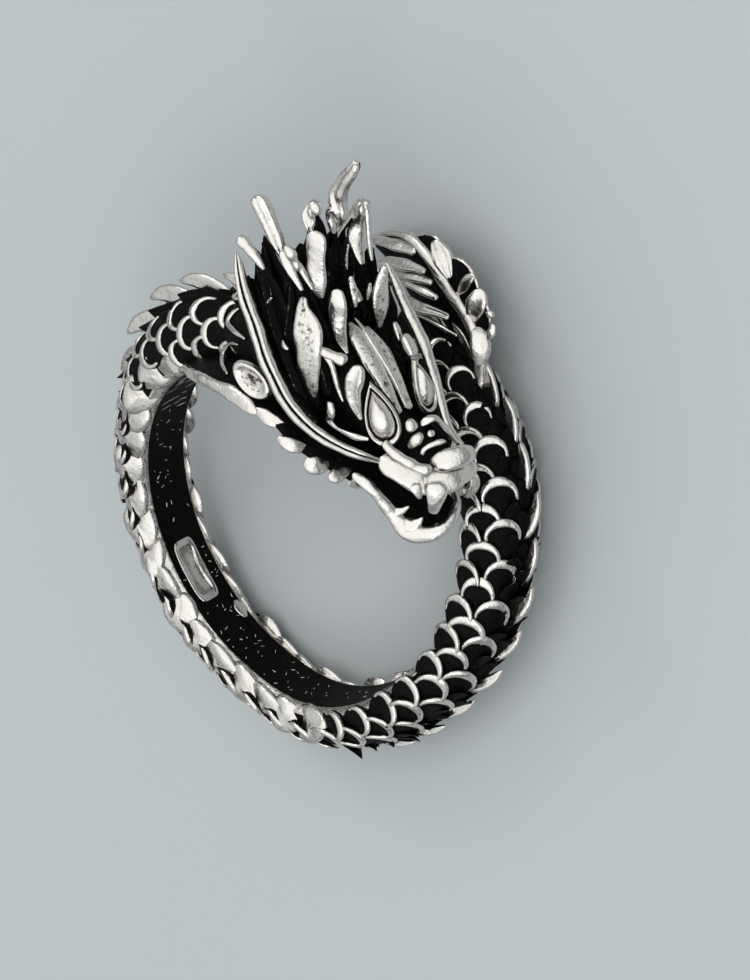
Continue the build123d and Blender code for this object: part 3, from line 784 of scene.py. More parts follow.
WHISKERS = [
    ("double", 45, (11.08, 21.8, 1.8, 0.1, 0.09), (11.19, 25.2, 2.6, 0.2, 0.18),
     (10.87, 29.7, 3.1, 0.25, 0.23), (10.6, 35.4, 3.5, 0.29, 0.26), (10.73, 41.4, 3.75, 0.32, 0.29),
     (11.12, 47.4, 3.88, 0.34, 0.31), (11.82, 51.3, 3.95, 0.35, 0.32), (12.64, 54.5, 4, 0.36, 0.32),
     (13.5, 57.1, 4, 0.36, 0.32), (14.31, 59.7, 3.95, 0.34, 0.31), (15.07, 62, 3.8, 0.31, 0.28),
     (15.92, 63.8, 3.65, 0.22, 0.2), (16.49, 64.9, 3.5, 0.07, 0.06)),
    ("round", 45, (15.83, 60.8, 2.9, 0.08, 0.07), (16.29, 62.3, 3, 0.22, 0.2), (16.72, 63.8, 3.1, 0.27, 0.24),
     (16.98, 64.9, 3.15, 0.27, 0.24), (17.08, 65.5, 3.15, 0.23, 0.21), {"ripple": 0.04}),
    ("plate", 20, (14.69, 54.2, -3.3, 0.14, 0.13), (13.96, 50.7, -3.25, 0.24, 0.22),
     (12.97, 43.2, -3.1, 0.28, 0.25), (12.47, 37.4, -2.9, 0.28, 0.24), (11.9, 31.6, -2.7, 0.25, 0.22),
     (11.52, 26.1, -2.4, 0.22, 0.2), (11.57, 20.2, -2.1, 0.18, 0.17), (12.01, 16.4, -1.9, 0.12, 0.12)),
    ("round", 20, (13.6, 52, -3.2, 0.14, 0.14), (14.3, 56.5, -3.1, 0.22, 0.22), (15.2, 61, -2.9, 0.2, 0.2),
     {"root": 0.3}),
]
# Dark locks of hair under and between the horns: tilt, then the rows of the path
LOCKS = [
    (40, (13, 60, 1.9, 1.1, 0.6), (15.2, 61, 2.2, 0.8, 0.4), (17.1, 63, 2.35, 0.05, 0.05)),
    (40, (12.5, 57, 2.1, 1.1, 0.6), (14.8, 58, 2, 0.8, 0.4), (16.3, 59.2, 1.8, 0.08, 0.08)),
    (35, (13, 55, 1.3, 1.1, 0.6), (15.2, 56.6, 1.4, 0.8, 0.4), (16.6, 58, 1.45, 0.35, 0.2),
     (17, 58.2, 1.4, 0.1, 0.08)),
    (30, (13.2, 55, 0.7, 1.1, 0.6), (15.9, 56.5, 0.8, 0.9, 0.5), (17.8, 57.4, 0.85, 0.44, 0.25),
     (18.5, 58.3, 0.8, 0.08, 0.08)),
    (20, (13.2, 54, 0.1, 1.1, 0.6), (15.5, 55.5, 0.1, 1, 0.5), (17, 56.1, 0.1, 0.5, 0.25),
     (17.6, 56.1, 0.1, 0.08, 0.08)),
    (10, (13.2, 53, -0.6, 1.1, 0.6), (15.3, 54.5, -0.7, 1, 0.5), (17, 55.3, -0.8, 0.5, 0.25),
     (17.9, 55.6, -0.8, 0.06, 0.06)),
    (10, (12.6, 51, -1.3, 1.1, 0.6), (14.4, 52.5, -1.5, 0.9, 0.5), (16.4, 53.5, -1.7, 0.12, 0.1)),
    (0, (11.5, 47, -1.6, 1.2, 0.8), (13.2, 50, -2.1, 1, 0.6), (15, 52, -2.3, 0.2, 0.2)),
    (-5, (10.2, 33, -1.6, 0.8, 0.8), (11.2, 42, -2.1, 1.1, 0.8), (12.4, 50, -2.5, 0.9, 0.6),
     (14, 57, -2.6, 0.2, 0.2)),
    (60, (10.5, 47, 2.4, 0.9, 0.6), (12.3, 55, 2.6, 1.1, 0.5), (14.8, 60.5, 2.7, 0.8, 0.4),
     (16.6, 62.6, 2.85, 0.08, 0.1)),
    (60, (10.2, 42, 2.5, 0.8, 0.6), (11.2, 52, 3, 1, 0.5), (13.2, 60, 3.1, 0.9, 0.4),
     (15.2, 63.5, 3.1, 0.3, 0.2)),
    (50, (11.4, 44, 1.9, 0.8, 0.5), (13, 50, 1.9, 0.9, 0.4), (15, 56, 1.7, 0.5, 0.3),
     (16, 58, 1.6, 0.08, 0.08)),
    (-20, (12, 44, -1.7, 0.7, 0.6), (11.6, 36, -2, 0.8, 0.6), (11.4, 28, -1.8, 0.7, 0.5),
     (11.8, 18, -1.3, 0.4, 0.4)),
    (30, (9.45, 14, -0.9, 0.7, 0.2), (9.5, 7, -0.8, 0.8, 0.2), (9.7, 1.5, -0.5, 0.6, 0.2)),
]
MANE = [
    # Horn 1 with the knobbed rod and the thin rod beside it
    ("scored", 30, (16.1, 59.7, 1.95, 0.14, 0.12), (16.58, 60.8, 1.93, 0.28, 0.22),
     (16.98, 61.8, 1.95, 0.36, 0.28), (17.51, 62.9, 2, 0.4, 0.3), (18.17, 63.9, 2.1, 0.41, 0.31),
     (18.63, 64.5, 2.2, 0.41, 0.31), (18.85, 64.9, 2.2, 0.4, 0.3)),
    ("plate", 35, (15.28, 54.7, 2.1, 0.08, 0.07), (15.72, 56.2, 2.15, 0.18, 0.15),
     (16.16, 57.6, 2.2, 0.24, 0.2), (16.48, 58.6, 2.2, 0.28, 0.24), (16.76, 59.6, 2.2, 0.24, 0.2)),
    ("round", 35, (16.21, 55.8, 2.15, 0.1, 0.09), (16.65, 56.7, 2.25, 0.2, 0.18),
     (17.05, 57.4, 2.35, 0.24, 0.22), (17.26, 58.4, 2.35, 0.22, 0.2), {"ripple": 0.16}),
    ("round", 35, (15.53, 53.1, 1.9, 0.06, 0.06), (15.97, 54.8, 1.95, 0.12, 0.11),
     (16.36, 56.2, 2, 0.13, 0.12), (16.57, 57.2, 2, 0.07, 0.06)),
    # Horn 2, hooked over at the tip, and the broad flat blade before it
    ("leaf", 30, (17.6, 57.3, 1.15, 0.12, 0.1), (17.95, 57.9, 1.1, 0.26, 0.23),
     (18.3, 58.4, 1.05, 0.32, 0.26), (18.62, 58.3, 1, 0.3, 0.25), (18.85, 57.9, 0.98, 0.24, 0.2)),
    ("round", 30, (18.49, 56.9, 1, 0.1, 0.09), (18.76, 57.3, 1, 0.24, 0.22), (18.88, 57.8, 0.98, 0.27, 0.24),
     (18.77, 58.5, 0.95, 0.2, 0.18)),
    ("plate", 30, (14.95, 52.4, 1.45, 0.1, 0.06), (15.46, 53.1, 1.5, 0.36, 0.14),
     (16.16, 54.2, 1.5, 0.45, 0.18), (16.96, 54.9, 1.5, 0.46, 0.18), (17.66, 55.4, 1.45, 0.46, 0.18),
     (18.07, 55.7, 1.4, 0.44, 0.18)),
    # The long curved horn on its forked foot
    ("scored", 36, (18.2, 55.2, 0.05, 0.22, 0.18), (18.54, 55.5, 0.05, 0.36, 0.28),
     (18.85, 56, 0.05, 0.42, 0.32), (19.25, 56.3, 0, 0.46, 0.35), (19.78, 56, 0, 0.46, 0.35),
     (20.3, 55.5, 0, 0.42, 0.32), (20.74, 54.9, 0, 0.37, 0.28), (21.14, 54.4, 0, 0.33, 0.25),
     (21.38, 54, 0, 0.28, 0.21)),
    ("round", 20, (18.75, 55.9, 0.2, 0.2, 0.18), (18.58, 56.6, 0.32, 0.2, 0.18), (18.2, 56.6, 0.3, 0.2, 0.18),
     (17.85, 56.1, 0.3, 0.18, 0.16), (17.45, 55.6, 0.25, 0.08, 0.07)),
    ("round", 20, (18.75, 55.5, -0.1, 0.28, 0.24), (18.4, 55.3, -0.1, 0.27, 0.24),
     (17.95, 55.6, -0.1, 0.2, 0.18), (17.6, 55.7, 0, 0.16, 0.14), (17.3, 55.7, 0.1, 0.07, 0.06)),
    # Horn 3 with its rod, and thin strands before it
    ("plate", 15, (15.99, 51.9, -0.8, 0.1, 0.08), (16.44, 53.3, -0.85, 0.28, 0.18),
     (17.15, 54.9, -0.95, 0.41, 0.25), (17.85, 55.3, -1.05, 0.43, 0.26), (18.39, 55.2, -1.1, 0.43, 0.26),
     (18.85, 54.9, -1.12, 0.4, 0.24)),
    ("round", 10, (16.45, 50.5, -0.9, 0.06, 0.06), (17.15, 52.3, -1.05, 0.12, 0.11),
     (17.96, 53.4, -1.15, 0.13, 0.12), (18.56, 54.1, -1.2, 0.17, 0.15), (18.94, 54.6, -1.2, 0.24, 0.22)),
    ("round", 20, (15.83, 52.9, -0.1, 0.06, 0.06), (16.54, 53.4, -0.05, 0.09, 0.08),
     (17.19, 53.4, -0.05, 0.07, 0.06)),
    ("worn", 20, (14.44, 49, 0, 0.06, 0.06), (15.11, 50.2, 0, 0.2, 0.12), (15.79, 51.5, 0, 0.1, 0.08)),
    ("worn", 10, (14.61, 48.7, -0.7, 0.05, 0.06), (15.08, 49, -0.7, 0.12, 0.1),
     (15.51, 49.3, -0.7, 0.06, 0.06)),
    # The pale plates over the cheek and the brow
    ("worn", 50, (15.3, 53.3, 2.35, 0.14, 0.1), (14.86, 52.8, 2.45, 0.3, 0.14),
     (14.39, 51.1, 2.6, 0.62, 0.24), (13.84, 49.3, 2.75, 0.68, 0.26), (13.05, 47.8, 2.8, 0.62, 0.24),
     (12.11, 46, 2.75, 0.45, 0.18), (11.05, 43.9, 2.6, 0.12, 0.08)),
    ("plate", 30, (15.77, 50.4, 1.15, 0.22, 0.12), (15.29, 49.7, 1.2, 0.4, 0.19),
     (14.66, 49, 1.2, 0.42, 0.19), (14.04, 47.8, 1.2, 0.36, 0.17), (13.46, 46.3, 1.15, 0.22, 0.1),
     (13.01, 44.3, 1.1, 0.06, 0.06)),
    ("worn", 5, (16.47, 48.7, -1.2, 0.12, 0.08), (15.73, 48.3, -1.15, 0.28, 0.16),
     (14.91, 47.5, -1.1, 0.42, 0.21), (14.12, 46.5, -1.1, 0.34, 0.17), (13.29, 45.6, -1.1, 0.1, 0.08)),
    ("round", 10, (14, 48, -0.6, 0.12, 0.12), (14.6, 50.5, -0.5, 0.17, 0.16), (15.2, 53, -0.4, 0.12, 0.12),
     {"root": 0.4}),
    # Two rims of scales that show behind the whisker
    ("round", 45, (12.14, 74.7, 1.38, 0.05, 0.06), (11.86, 76.5, 1.53, 0.11, 0.08),
     (11.6, 77, 1.72, 0.13, 0.09), (11.38, 73.5, 2.12, 0.12, 0.09), (11.32, 68.3, 2.4, 0.06, 0.06)),
    ("round", 45, (10.88, 71.1, 2.35, 0.05, 0.06), (10.45, 76.8, 2, 0.11, 0.08),
     (9.95, 79.5, 2.05, 0.13, 0.09), (9.78, 76.4, 2.64, 0.12, 0.09), (9.72, 70.8, 3.2, 0.06, 0.06)),
    # Bright tips of hair in the dark of the cheek
    ("round", 60, (14.44, 62.5, 2.9, 0.05, 0.06), (14.4, 61.5, 2.95, 0.08, 0.07),
     (14.52, 60.5, 2.9, 0.05, 0.06)),
    ("round", 60, (14.08, 59.9, 2.95, 0.04, 0.06), (14.46, 59, 3, 0.09, 0.08),
     (14.76, 58.4, 2.95, 0.05, 0.06)),
    ("round", 60, (13.01, 54.3, 3, 0.05, 0.06), (12.82, 53.2, 3.05, 0.12, 0.11),
     (12.79, 52.3, 3, 0.06, 0.06)),
]
# Rows that both edges of the throat share
THROAT_EDGE = [
    (9.3, 104, 1.7, 0.16, 0.16), (9.3, 95, 2.35, 0.22, 0.22), (9.3, 88, 3.05, 0.26, 0.22),
    (9.32, 80, 3.6, 0.3, 0.22), (9.32, 70, 3.85, 0.28, 0.22),
]
LEAVES = [
    ("plate", 60, (9.4, 75.3, 3.8, 0.1, 0.08), (9.4, 68.7, 3.92, 0.3, 0.15), (9.4, 61.7, 4.02, 0.38, 0.19),
     (9.4, 56.6, 4.08, 0.3, 0.15), (9.4, 53.5, 4.12, 0.12, 0.08)),
    ("plate", 60, (9.4, 55.3, 4.03, 0.12, 0.08), (9.4, 52.7, 3.99, 0.28, 0.17), (9.4, 50, 3.92, 0.34, 0.2),
     (9.4, 47.5, 3.74, 0.28, 0.17), (9.45, 45, 3.55, 0.08, 0.06)),
    ("plate", 60, (9.4, 43.6, 4.4, 0.1, 0.06), (9.4, 41.3, 4.3, 0.28, 0.17), (9.4, 39.1, 4.08, 0.32, 0.19),
     (9.4, 37.6, 3.78, 0.28, 0.17), (9.45, 36.4, 3.41, 0.08, 0.06)),
    ("plate", 60, (9.35, 34, 4.05, 0.16, 0.1), (9.35, 32.2, 3.9, 0.4, 0.24), (9.35, 30.8, 3.64, 0.44, 0.26),
     (9.35, 30.5, 3.29, 0.34, 0.22), (9.45, 30.6, 3.04, 0.12, 0.08)),
    ("plate", 60, (9.35, 26.4, 3.56, 0.12, 0.08), (9.35, 26, 3.26, 0.34, 0.24), (9.35, 26, 2.83, 0.38, 0.26),
     (9.35, 26.4, 2.39, 0.32, 0.22), (9.45, 26.8, 2.07, 0.1, 0.07)),
    ("leaf", 60, (9.4, 22.4, 2.8, 0.1, 0.07), (9.35, 21.4, 2.35, 0.28, 0.19), (9.35, 20.8, 1.86, 0.33, 0.23),
     (9.4, 20.8, 1.33, 0.26, 0.18), (9.55, 21.1, 0.84, 0.1, 0.07)),
    # The smooth near edge of the throat, and the far one
    ("round", 75, *THROAT_EDGE, (9.32, 62, 3.9, 0.22, 0.22), (9.35, 57.5, 3.8, 0.12, 0.16)),
    ("round", 75, *((out, turn, -side, wide, thick) for out, turn, side, wide, thick in THROAT_EDGE),
     (9.32, 60, -3.9, 0.24, 0.22), (9.35, 50, -3.85, 0.24, 0.22), (9.35, 40, -3.4, 0.22, 0.2),
     (9.35, 31, -2.72, 0.2, 0.18), (9.4, 22, -1.85, 0.18, 0.16), (9.5, 14, -1.45, 0.1, 0.1)),
]
PLUME_EDGE = [
    # angle, outer distance, inner distance, side, half thickness
    (24, 11.3, 10.0, -5.35, 0.16), (30, 12.5, 9.9, -5.75, 0.18), (36, 14.2, 9.9, -6.00, 0.20),
    (43, 14.95, 9.9, -6.30, 0.22), (50, 14.9, 9.9, -6.60, 0.22), (56, 14.7, 10.2, -6.90, 0.20),
    (62, 14.1, 10.6, -7.20, 0.18), (68, 13.4, 11.2, -7.55, 0.14), (75, 12.7, 11.8, -7.85, 0.10),
]
PLUME = [
    ("plate", 55, (12.35, 76, -7.6, 0.07, 0.1), (13.35, 66.5, -7.1, 0.16, 0.18),
     (13.8, 59.2, -6.72, 0.24, 0.24), (13.65, 53.8, -6.42, 0.27, 0.26), (13.35, 49.3, -6.17, 0.28, 0.28),
     (13.15, 44.5, -5.97, 0.28, 0.28), (13, 39.8, -5.78, 0.28, 0.28), (12.8, 35.4, -5.59, 0.28, 0.28),
     (12.4, 31.7, -5.44, 0.3, 0.28), (11.6, 28.5, -5.38, 0.26, 0.24), (10.8, 24.5, -5.3, 0.14, 0.16)),
    ("plate", 45, (12.5, 74.8, -7.2, 0.14, 0.1), (12.8, 68.8, -6.95, 0.25, 0.15),
     (13.13, 63.1, -6.72, 0.32, 0.17), (13.45, 57.6, -6.48, 0.22, 0.14)),
    ("leaf", 50, (11.9, 68, -6.2, 0.14, 0.1), (12.4, 63.9, -6, 0.26, 0.16), (13.2, 56.5, -5.62, 0.3, 0.18),
     (13.75, 51, -5.35, 0.12, 0.12)),
    ("plate", 50, (11.6, 65, -6, 0.12, 0.1), (12.1, 61.5, -5.89, 0.22, 0.15), (13, 53.5, -5.5, 0.24, 0.17),
     (13.5, 48.6, -5.3, 0.12, 0.12)),
    ("plate", 50, (11.6, 60.5, -5.9, 0.12, 0.1), (12.1, 57.4, -5.77, 0.2, 0.15),
     (12.7, 50.6, -5.42, 0.22, 0.17), (13, 46.2, -5.3, 0.15, 0.15)),
    ("leaf", 50, (10.7, 58.5, -5.95, 0.16, 0.12), (11, 55.7, -5.87, 0.32, 0.17),
     (11.8, 48.6, -5.5, 0.28, 0.18), (12.55, 42.1, -5.35, 0.16, 0.15)),
    ("round", 50, (10.4, 55.5, -5.95, 0.08, 0.08), (10.7, 52.8, -5.91, 0.11, 0.1),
     (11.4, 45.7, -5.6, 0.12, 0.12), (12.05, 38.4, -5.4, 0.08, 0.08)),
    ("leaf", 35, (13.59, 47.5, -6.25, 0.18, 0.14), (14, 49.4, -6.3, 0.42, 0.19),
     (14.33, 51.5, -6.38, 0.48, 0.2), (14.62, 54, -6.48, 0.2, 0.12)),
    ("plate", 35, (13.32, 44, -6.1, 0.12, 0.12), (13.92, 43.6, -6.08, 0.26, 0.16),
     (14.52, 43.3, -6.12, 0.28, 0.16), (14.9, 42.8, -6.18, 0.14, 0.1)),
    ("leaf", 35, (12.73, 37.9, -5.85, 0.2, 0.14), (13.5, 38.7, -5.88, 0.44, 0.2),
     (14.22, 39.6, -5.95, 0.48, 0.2), (14.62, 40.4, -6.05, 0.22, 0.12)),
    ("plate", 35, (12.05, 29.6, -5.3, 0.2, 0.12), (12.6, 31.6, -5.32, 0.44, 0.2),
     (13.02, 33.9, -5.42, 0.48, 0.21), (13.2, 36.2, -5.56, 0.24, 0.12)),
    ("plate", 35, (13.2, 32.6, -5.62, 0.1, 0.1), (13.62, 33.2, -5.7, 0.22, 0.15),
     (14.02, 33.9, -5.78, 0.1, 0.08)),
    ("round", 35, (13.93, 35.6, -5.9, 0.1, 0.1), (14.15, 35.7, -5.9, 0.24, 0.18),
     (14.34, 36, -5.9, 0.1, 0.08)),
]


def core(cast, table):
    """A dark closed form lofted through the rows of a table."""
    count, turn = 60, corners(28)
    angle = np.repeat(np.linspace(table[0][0], table[-1][0], count), len(turn))
    cast.add_rows(core_spot(angle, np.tile(turn, count), table).reshape(count, -1, 3), 0.0)


def scratch_pattern():
    """One scratch: a thin bright burr, 1 mm long and a few hundredths of a millimetre high."""
    turn = corners(12)
    rings = []
    for share, lift, mark in ((0.05, 0.014, 0.75), (0.70, 0.010, 0.65), (1.00, -0.020, 0.2)):
        ring = np.stack([0.5 * share * np.cos(turn), 0.03 * share * np.sin(turn), lift + 0 * turn], axis=-1)
        rings.append((ring, mark))
    return pattern("scratch_pattern", rings)


# Rings of the inner plate from its edge inwards: inset, height and polish
PLATE_LEVELS = (
    (-0.06, -0.05, 0.6), (0.0, 0.03, 1.0), (0.09, 0.03, 1.0), (0.13, 0.005, 0.60), (0.30, 0.005, 0.72),
    (0.60, 0.005, 0.70),
)
# Scratches on the wall: how many, first angle, how far they go on, and where the coarse ones end
SCRATCH_COUNT, SCRATCH_START, SCRATCH_REACH, COARSE_END = 170, 96, 215, 135
# A bright nick in the wall beside the plate
NICK = [(9.05, 210, -1.0, 0.14, 0.06), (8.98, 213, -0.9, 0.32, 0.09), (9.05, 217, -0.9, 0.10, 0.06)]


class BuildPlate(bpy.types.Operator):
    """Builds the bare framed plate and the scratches on the inner wall"""

    bl_idname = "dragon_ring.plate"
    bl_label = "Inner plate"

    def execute(self, context):
        cast = Cast()
        turn = corners(60)
        round_x = np.sign(np.cos(turn)) * np.abs(np.cos(turn)) ** 0.4
        round_y = np.sign(np.sin(turn)) * np.abs(np.sin(turn)) ** 0.4
        rings = []
        for inset, height, mark in PLATE_LEVELS:
            x = (PLATE_LENGTH / 2 - inset) * round_x
            y = max(PLATE_WIDTH / 2 - inset, 0.02) * round_y
            angle = PLATE_ANGLE + np.degrees(x / FINGER_RADIUS)
            rings.append((spots(FINGER_RADIUS - height, angle, PLATE_SIDE + y), mark))
        cast.add_rings(rings)
        strand(cast, NICK, tilt=180)
        settled(cast.made("inner_plate"))
        # Coarse scratches run across the wall beside the head, and short ones lie every way further on
        dice = np.random.default_rng(21)
        count = SCRATCH_COUNT
        angle = SCRATCH_START + SCRATCH_REACH * dice.random(count) ** 1.4
        side = dice.uniform(-1.05, 1.05, count)
        coarse = angle < COARSE_END
        turn = np.where(coarse, 1.57 + dice.uniform(-0.2, 0.2, count), dice.uniform(0, 3.14, count))
        out = -spots(1.0, angle, 0.0)
        axis = np.array([0.0, 0.0, 1.0])
        along = np.cos(turn)[:, None] * np.cross(axis, -out) + np.sin(turn)[:, None] * axis
        long = np.where(coarse, dice.uniform(0.3, 1.0, count), dice.uniform(0.10, 0.35, count))
        side = np.clip(side, long * 0.4 - WALL_HALF, WALL_HALF - long * 0.4)
        size = np.stack([long, dice.uniform(0.6, 1.4, count), np.ones(count)], axis=-1)
        row = (spots(FINGER_RADIUS, angle, side), along, np.cross(out, along), out, size, 0 * angle)
        scattered("wall_scratches", scratch_pattern(), [row], seed=3)
        return {"FINISHED"}


class BuildSkull(bpy.types.Operator):
    """Builds the dark core of the head and of the throat"""

    bl_idname = "dragon_ring.skull"
    bl_label = "Skull"

    def execute(self, context):
        cast = Cast()
        core(cast, SKULL)
        core(cast, THROAT)
        settled(cast.made("skull"))
        return {"FINISHED"}


# Raised buttons: middle, place ahead, angle and tilt that they face, half length and half width
EYES = (
    ((12.46, 30.6, 1.55), (13.20, 36.6, 1.40), (0.345, 52.338), 1.52, 0.76),
    ((12.38, 31.7, -1.48), (13.11, 36.7, -1.40), (0.510, -9.311), 1.30, 0.64),
)
CURL = ((10.5, 59.0, 3.65), (11.04, 65.6, 3.60), (0.362, 76.494), 1.10, 0.74)
# Rings of an eye in its lid, and of the curl behind the leaves: share of the size, height and polish
EYE_LEVELS = (
    (0.02, 0.46, 1.0), (0.20, 0.45, 1.0), (0.38, 0.41, 1.0), (0.54, 0.33, 1.0), (0.66, 0.20, 1.0),
    (0.74, 0.06, 0.4), (0.78, 0.0, 0.0), (0.83, 0.04, 0.2), (0.88, 0.15, 1.0), (0.94, 0.18, 1.0),
    (1.00, 0.10, 1.0), (1.04, -0.15, 0.0), (1.00, -0.45, 0.0),
)
CURL_LEVELS = (
    (0.02, 0.02, 0.40), (0.40, 0.02, 0.50), (0.60, 0.04, 0.45), (0.72, 0.14, 1.0), (0.84, 0.22, 1.0),
    (0.96, 0.16, 1.0), (1.02, 0.0, 0.5), (1.00, -0.35, 0.0),
)


class BuildFace(bpy.types.Operator):
    """Builds the bridge, the brows, the snout, the eyes and the open lower jaw"""

    bl_idname = "dragon_ring.face"
    bl_label = "Face"

    def execute(self, context):
        strands("bridge", BRIDGE)
        strands("snout", SNOUT)
        cast = Cast()
        for eye in EYES:
            button(cast, *eye, EYE_LEVELS)
        settled(cast.made("eyes"))
        strands("lower_jaw", LOWER_JAW)
        return {"FINISHED"}


class BuildMane(bpy.types.Operator):
    """Builds the horns, the mane and the whiskers"""

    bl_idname = "dragon_ring.mane"
    bl_label = "Mane"

    def execute(self, context):
        strands("mane", MANE)
        strands("whiskers", WHISKERS)
        cast = Cast()
        for k, (tilt, *path) in enumerate(LOCKS):
            lock(cast, path, tilt, seed=k + 1)
        settled(cast.made("locks"))
        return {"FINISHED"}


class BuildThroat(bpy.types.Operator):
    """Builds the leaves and the curl on the edge of the throat"""

    bl_idname = "dragon_ring.throat"
    bl_label = "Throat leaves"

    def execute(self, context):
        strands("throat_leaves", LEAVES)
        cast = Cast()
        button(cast, *CURL, CURL_LEVELS, point=0.2)
        settled(cast.made("throat_curl"))
        return {"FINISHED"}


class BuildPlume(bpy.types.Operator):
    """Builds the feathered plume of the tail"""

    bl_idname = "dragon_ring.plume"
    bl_label = "Tail plume"

    def execute(self, context):
        strands("plume", PLUME)
        table = np.array(PLUME_EDGE)
        angle = np.linspace(table[0, 0], table[-1, 0], 60)[:, None]
        outer, inner, side, thick = flowing(table[:, 1:], table[:, 0], len(angle)).T[:, :, None]
        # The outer edge is scalloped, one lobe every 10 degrees
        lobes = 0.10 * np.abs(np.sin(np.radians(angle) * 18)) ** 0.6 - 0.06
        outer = outer - 0.3 + (outer - inner) * lobes
        flat, rise = np.cos(corners(20)), np.sin(corners(20))
        radius = (outer + inner) / 2 + (outer - inner) / 2 * flat
        cast = Cast()
        cast.add_rows(spots(radius, angle, side + thick * rise), step(0.9, 1.0, flat) * 0.8)
        settled(cast.made("plume_web"))
        return {"FINISHED"}


# The camera as it stands to the ring in the photograph, in mm round the finger hole
CAMERA_PLACE = (96.790, 33.330, 73.595)
CAMERA_LENS = 124.87
# Its own right, up and back in the same frame
CAMERA_AXES = (
    (0.664717, -0.292363, -0.687514),
    (0.0, 0.920249, -0.391332),
    (0.747095, 0.260125, 0.611705),
)
# Half the side of the floor and the height that the lamps look at, in metres
FLOOR_REACH, LAMP_AIM = 1.5, 0.006
# Lamps: name, place in metres, side in metres, power in watts and colour
LAMPS = (
    ("window", (-0.12, -0.12, 0.60), 1.30, 2.6, "FFFFFF"),
    ("fill", (-0.38, 0.12, 0.40), 0.12, 0.22, "F4F8FF"),
    ("side", (0.40, -0.15, 0.30), 0.10, 0.22, "FFFFFF"),
)


def painted_board():
    """Pale painted board for the floor, matt, with the faint cloudiness of a brushed coat."""
    board = bpy.data.materials.new("painted_board")
    board.use_nodes = True
    tree = board.node_tree
    tree.nodes.clear()
    place = add(tree, "ShaderNodeTexCoord").outputs["Object"]
    cloud = add(tree, "ShaderNodeTexNoise", Vector=place, Scale=9.0, Detail=2.0)
    tone = add(tree, "ShaderNodeMix", {"data_type": "RGBA"}, Factor=cloud.outputs["Fac"])
    for socket, share in ((6, 0.96), (7, 1.04)):
        tone.inputs[socket].default_value = [c * share for c in linear("B1B6B7")[:3]] + [1.0]
    shader = add(tree, "ShaderNodeBsdfPrincipled", Base_Color=tone.outputs[2], Roughness=0.75)
    add(tree, "ShaderNodeOutputMaterial", Surface=shader.outputs[0])
    return board


def soft_light(name, place, size, power, colour):
    """A soft square lamp that looks at the ring."""
    lamp = bpy.data.lights.new(name, "AREA")
    lamp.shape = "SQUARE"
    lamp.size = size
    lamp.energy = power
    lamp.color = linear(colour)[:3]
    stand = linked(name, lamp)
    stand.location = place
    stand.rotation_euler = (Vector((0, 0, LAMP_AIM)) - Vector(place)).to_track_quat("-Z", "Y").to_euler()


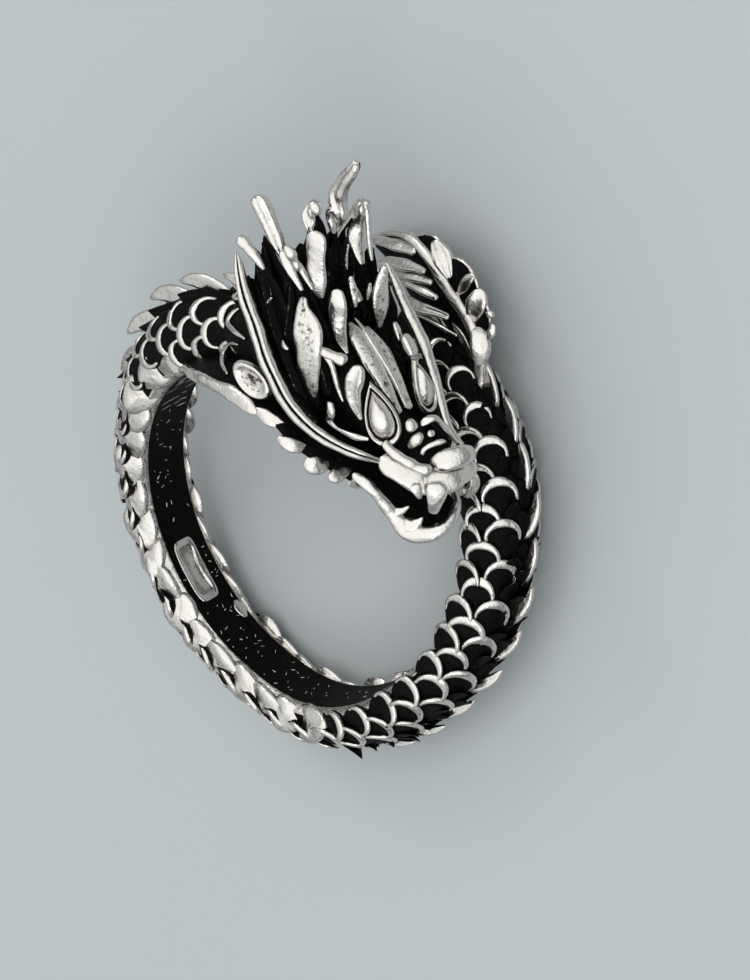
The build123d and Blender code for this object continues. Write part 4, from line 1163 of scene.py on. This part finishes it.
class BuildStage(bpy.types.Operator):
    """Sets the pale floor, the soft lights and the camera"""

    bl_idname = "dragon_ring.stage"
    bl_label = "Stage"

    def execute(self, context):
        scene = context.scene
        scene.view_settings.view_transform = "Standard"
        mesh = bpy.data.meshes.new("floor")
        edge = [(x * FLOOR_REACH, y * FLOOR_REACH, 0) for x, y in ((-1, -1), (1, -1), (1, 1), (-1, 1))]
        mesh.from_pydata(edge, [], [(0, 1, 2, 3)])
        mesh.materials.append(painted_board())
        linked("floor", mesh)

        scene.world = bpy.data.worlds.new("studio")
        scene.world.use_nodes = True
        tree = scene.world.node_tree
        tree.nodes.clear()
        way = add(tree, "ShaderNodeTexCoord").outputs["Generated"]
        height = add(tree, "ShaderNodeSeparateXYZ", Vector=way).outputs["Z"]
        ramp = add(tree, "ShaderNodeValToRGB", Fac=height)
        stops = ramp.color_ramp.elements
        stops[0].position, stops[1].position = 0.05, 0.90
        stops[0].color, stops[1].color = linear("3A3434"), linear("F2F4F5")
        stops.new(0.20).color = linear("8E9194")
        stops.new(0.40).color = linear("DCE1E3")
        sky = add(tree, "ShaderNodeBackground", Color=ramp.outputs["Color"], Strength=1.0)
        add(tree, "ShaderNodeOutputWorld", Surface=sky.outputs[0])
        for lamp in LAMPS:
            soft_light(*lamp)

        lens = bpy.data.cameras.new("camera")
        lens.sensor_fit = "HORIZONTAL"
        lens.sensor_width = 36.0
        lens.lens = CAMERA_LENS
        lens.clip_start, lens.clip_end = 0.01, 10.0
        camera = linked("camera", lens)
        turn = Matrix((TURN @ np.array(CAMERA_AXES).T).tolist())
        camera.matrix_world = Matrix.Translation(placed([CAMERA_PLACE])[0]) @ turn.to_4x4()
        scene.camera = camera
        return {"FINISHED"}


class RingSizes(bpy.types.PropertyGroup):
    """Sizes and colours that a maker would change"""

    scale_count: IntProperty(
        name="Scales in a row", description="How many scales stand in each row of a flank", default=34, min=8
    )
    spine_count: IntProperty(
        name="Spines", description="How many spines stand on the crest", default=31, min=8
    )
    silver: FloatVectorProperty(
        name="Silver", description="Colour of the polished metal", subtype="COLOR", size=3,
        default=linear("D8D4CE")[:3], min=0.0, max=1.0,
    )
    black: FloatVectorProperty(
        name="Black", description="Colour of the oxidised hollows", subtype="COLOR", size=3,
        default=linear("070505")[:3], min=0.0, max=1.0,
    )


BUILDERS = (
    BuildBand, BuildScales, BuildCrest, BuildPlate, BuildSkull, BuildFace, BuildMane, BuildThroat, BuildPlume,
    BuildStage,
)


class RingPanel(bpy.types.Panel):
    """Lists the pieces of the ring"""

    bl_idname = "DRAGON_RING_PT_pieces"
    bl_label = "Dragon Ring"
    bl_space_type = "VIEW_3D"
    bl_region_type = "UI"
    bl_category = "Dragon Ring"

    def draw(self, context):
        sizes = context.scene.dragon_ring
        for name in ("scale_count", "spine_count", "silver", "black"):
            self.layout.prop(sizes, name)
        for builder in BUILDERS:
            self.layout.operator(builder.bl_idname)


CLASSES = (RingSizes, *BUILDERS, RingPanel)


def register():
    for kind in CLASSES:
        bpy.utils.register_class(kind)
    bpy.types.Scene.dragon_ring = PointerProperty(type=RingSizes)


def unregister():
    del bpy.types.Scene.dragon_ring
    for kind in reversed(CLASSES):
        bpy.utils.unregister_class(kind)


def main():
    """Builds the whole ring on its stage."""
    register()
    for builder in BUILDERS:
        getattr(bpy.ops.dragon_ring, builder.bl_idname.split(".")[1])()
    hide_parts("dragon_ring")


if __name__ == "__main__":
    main()
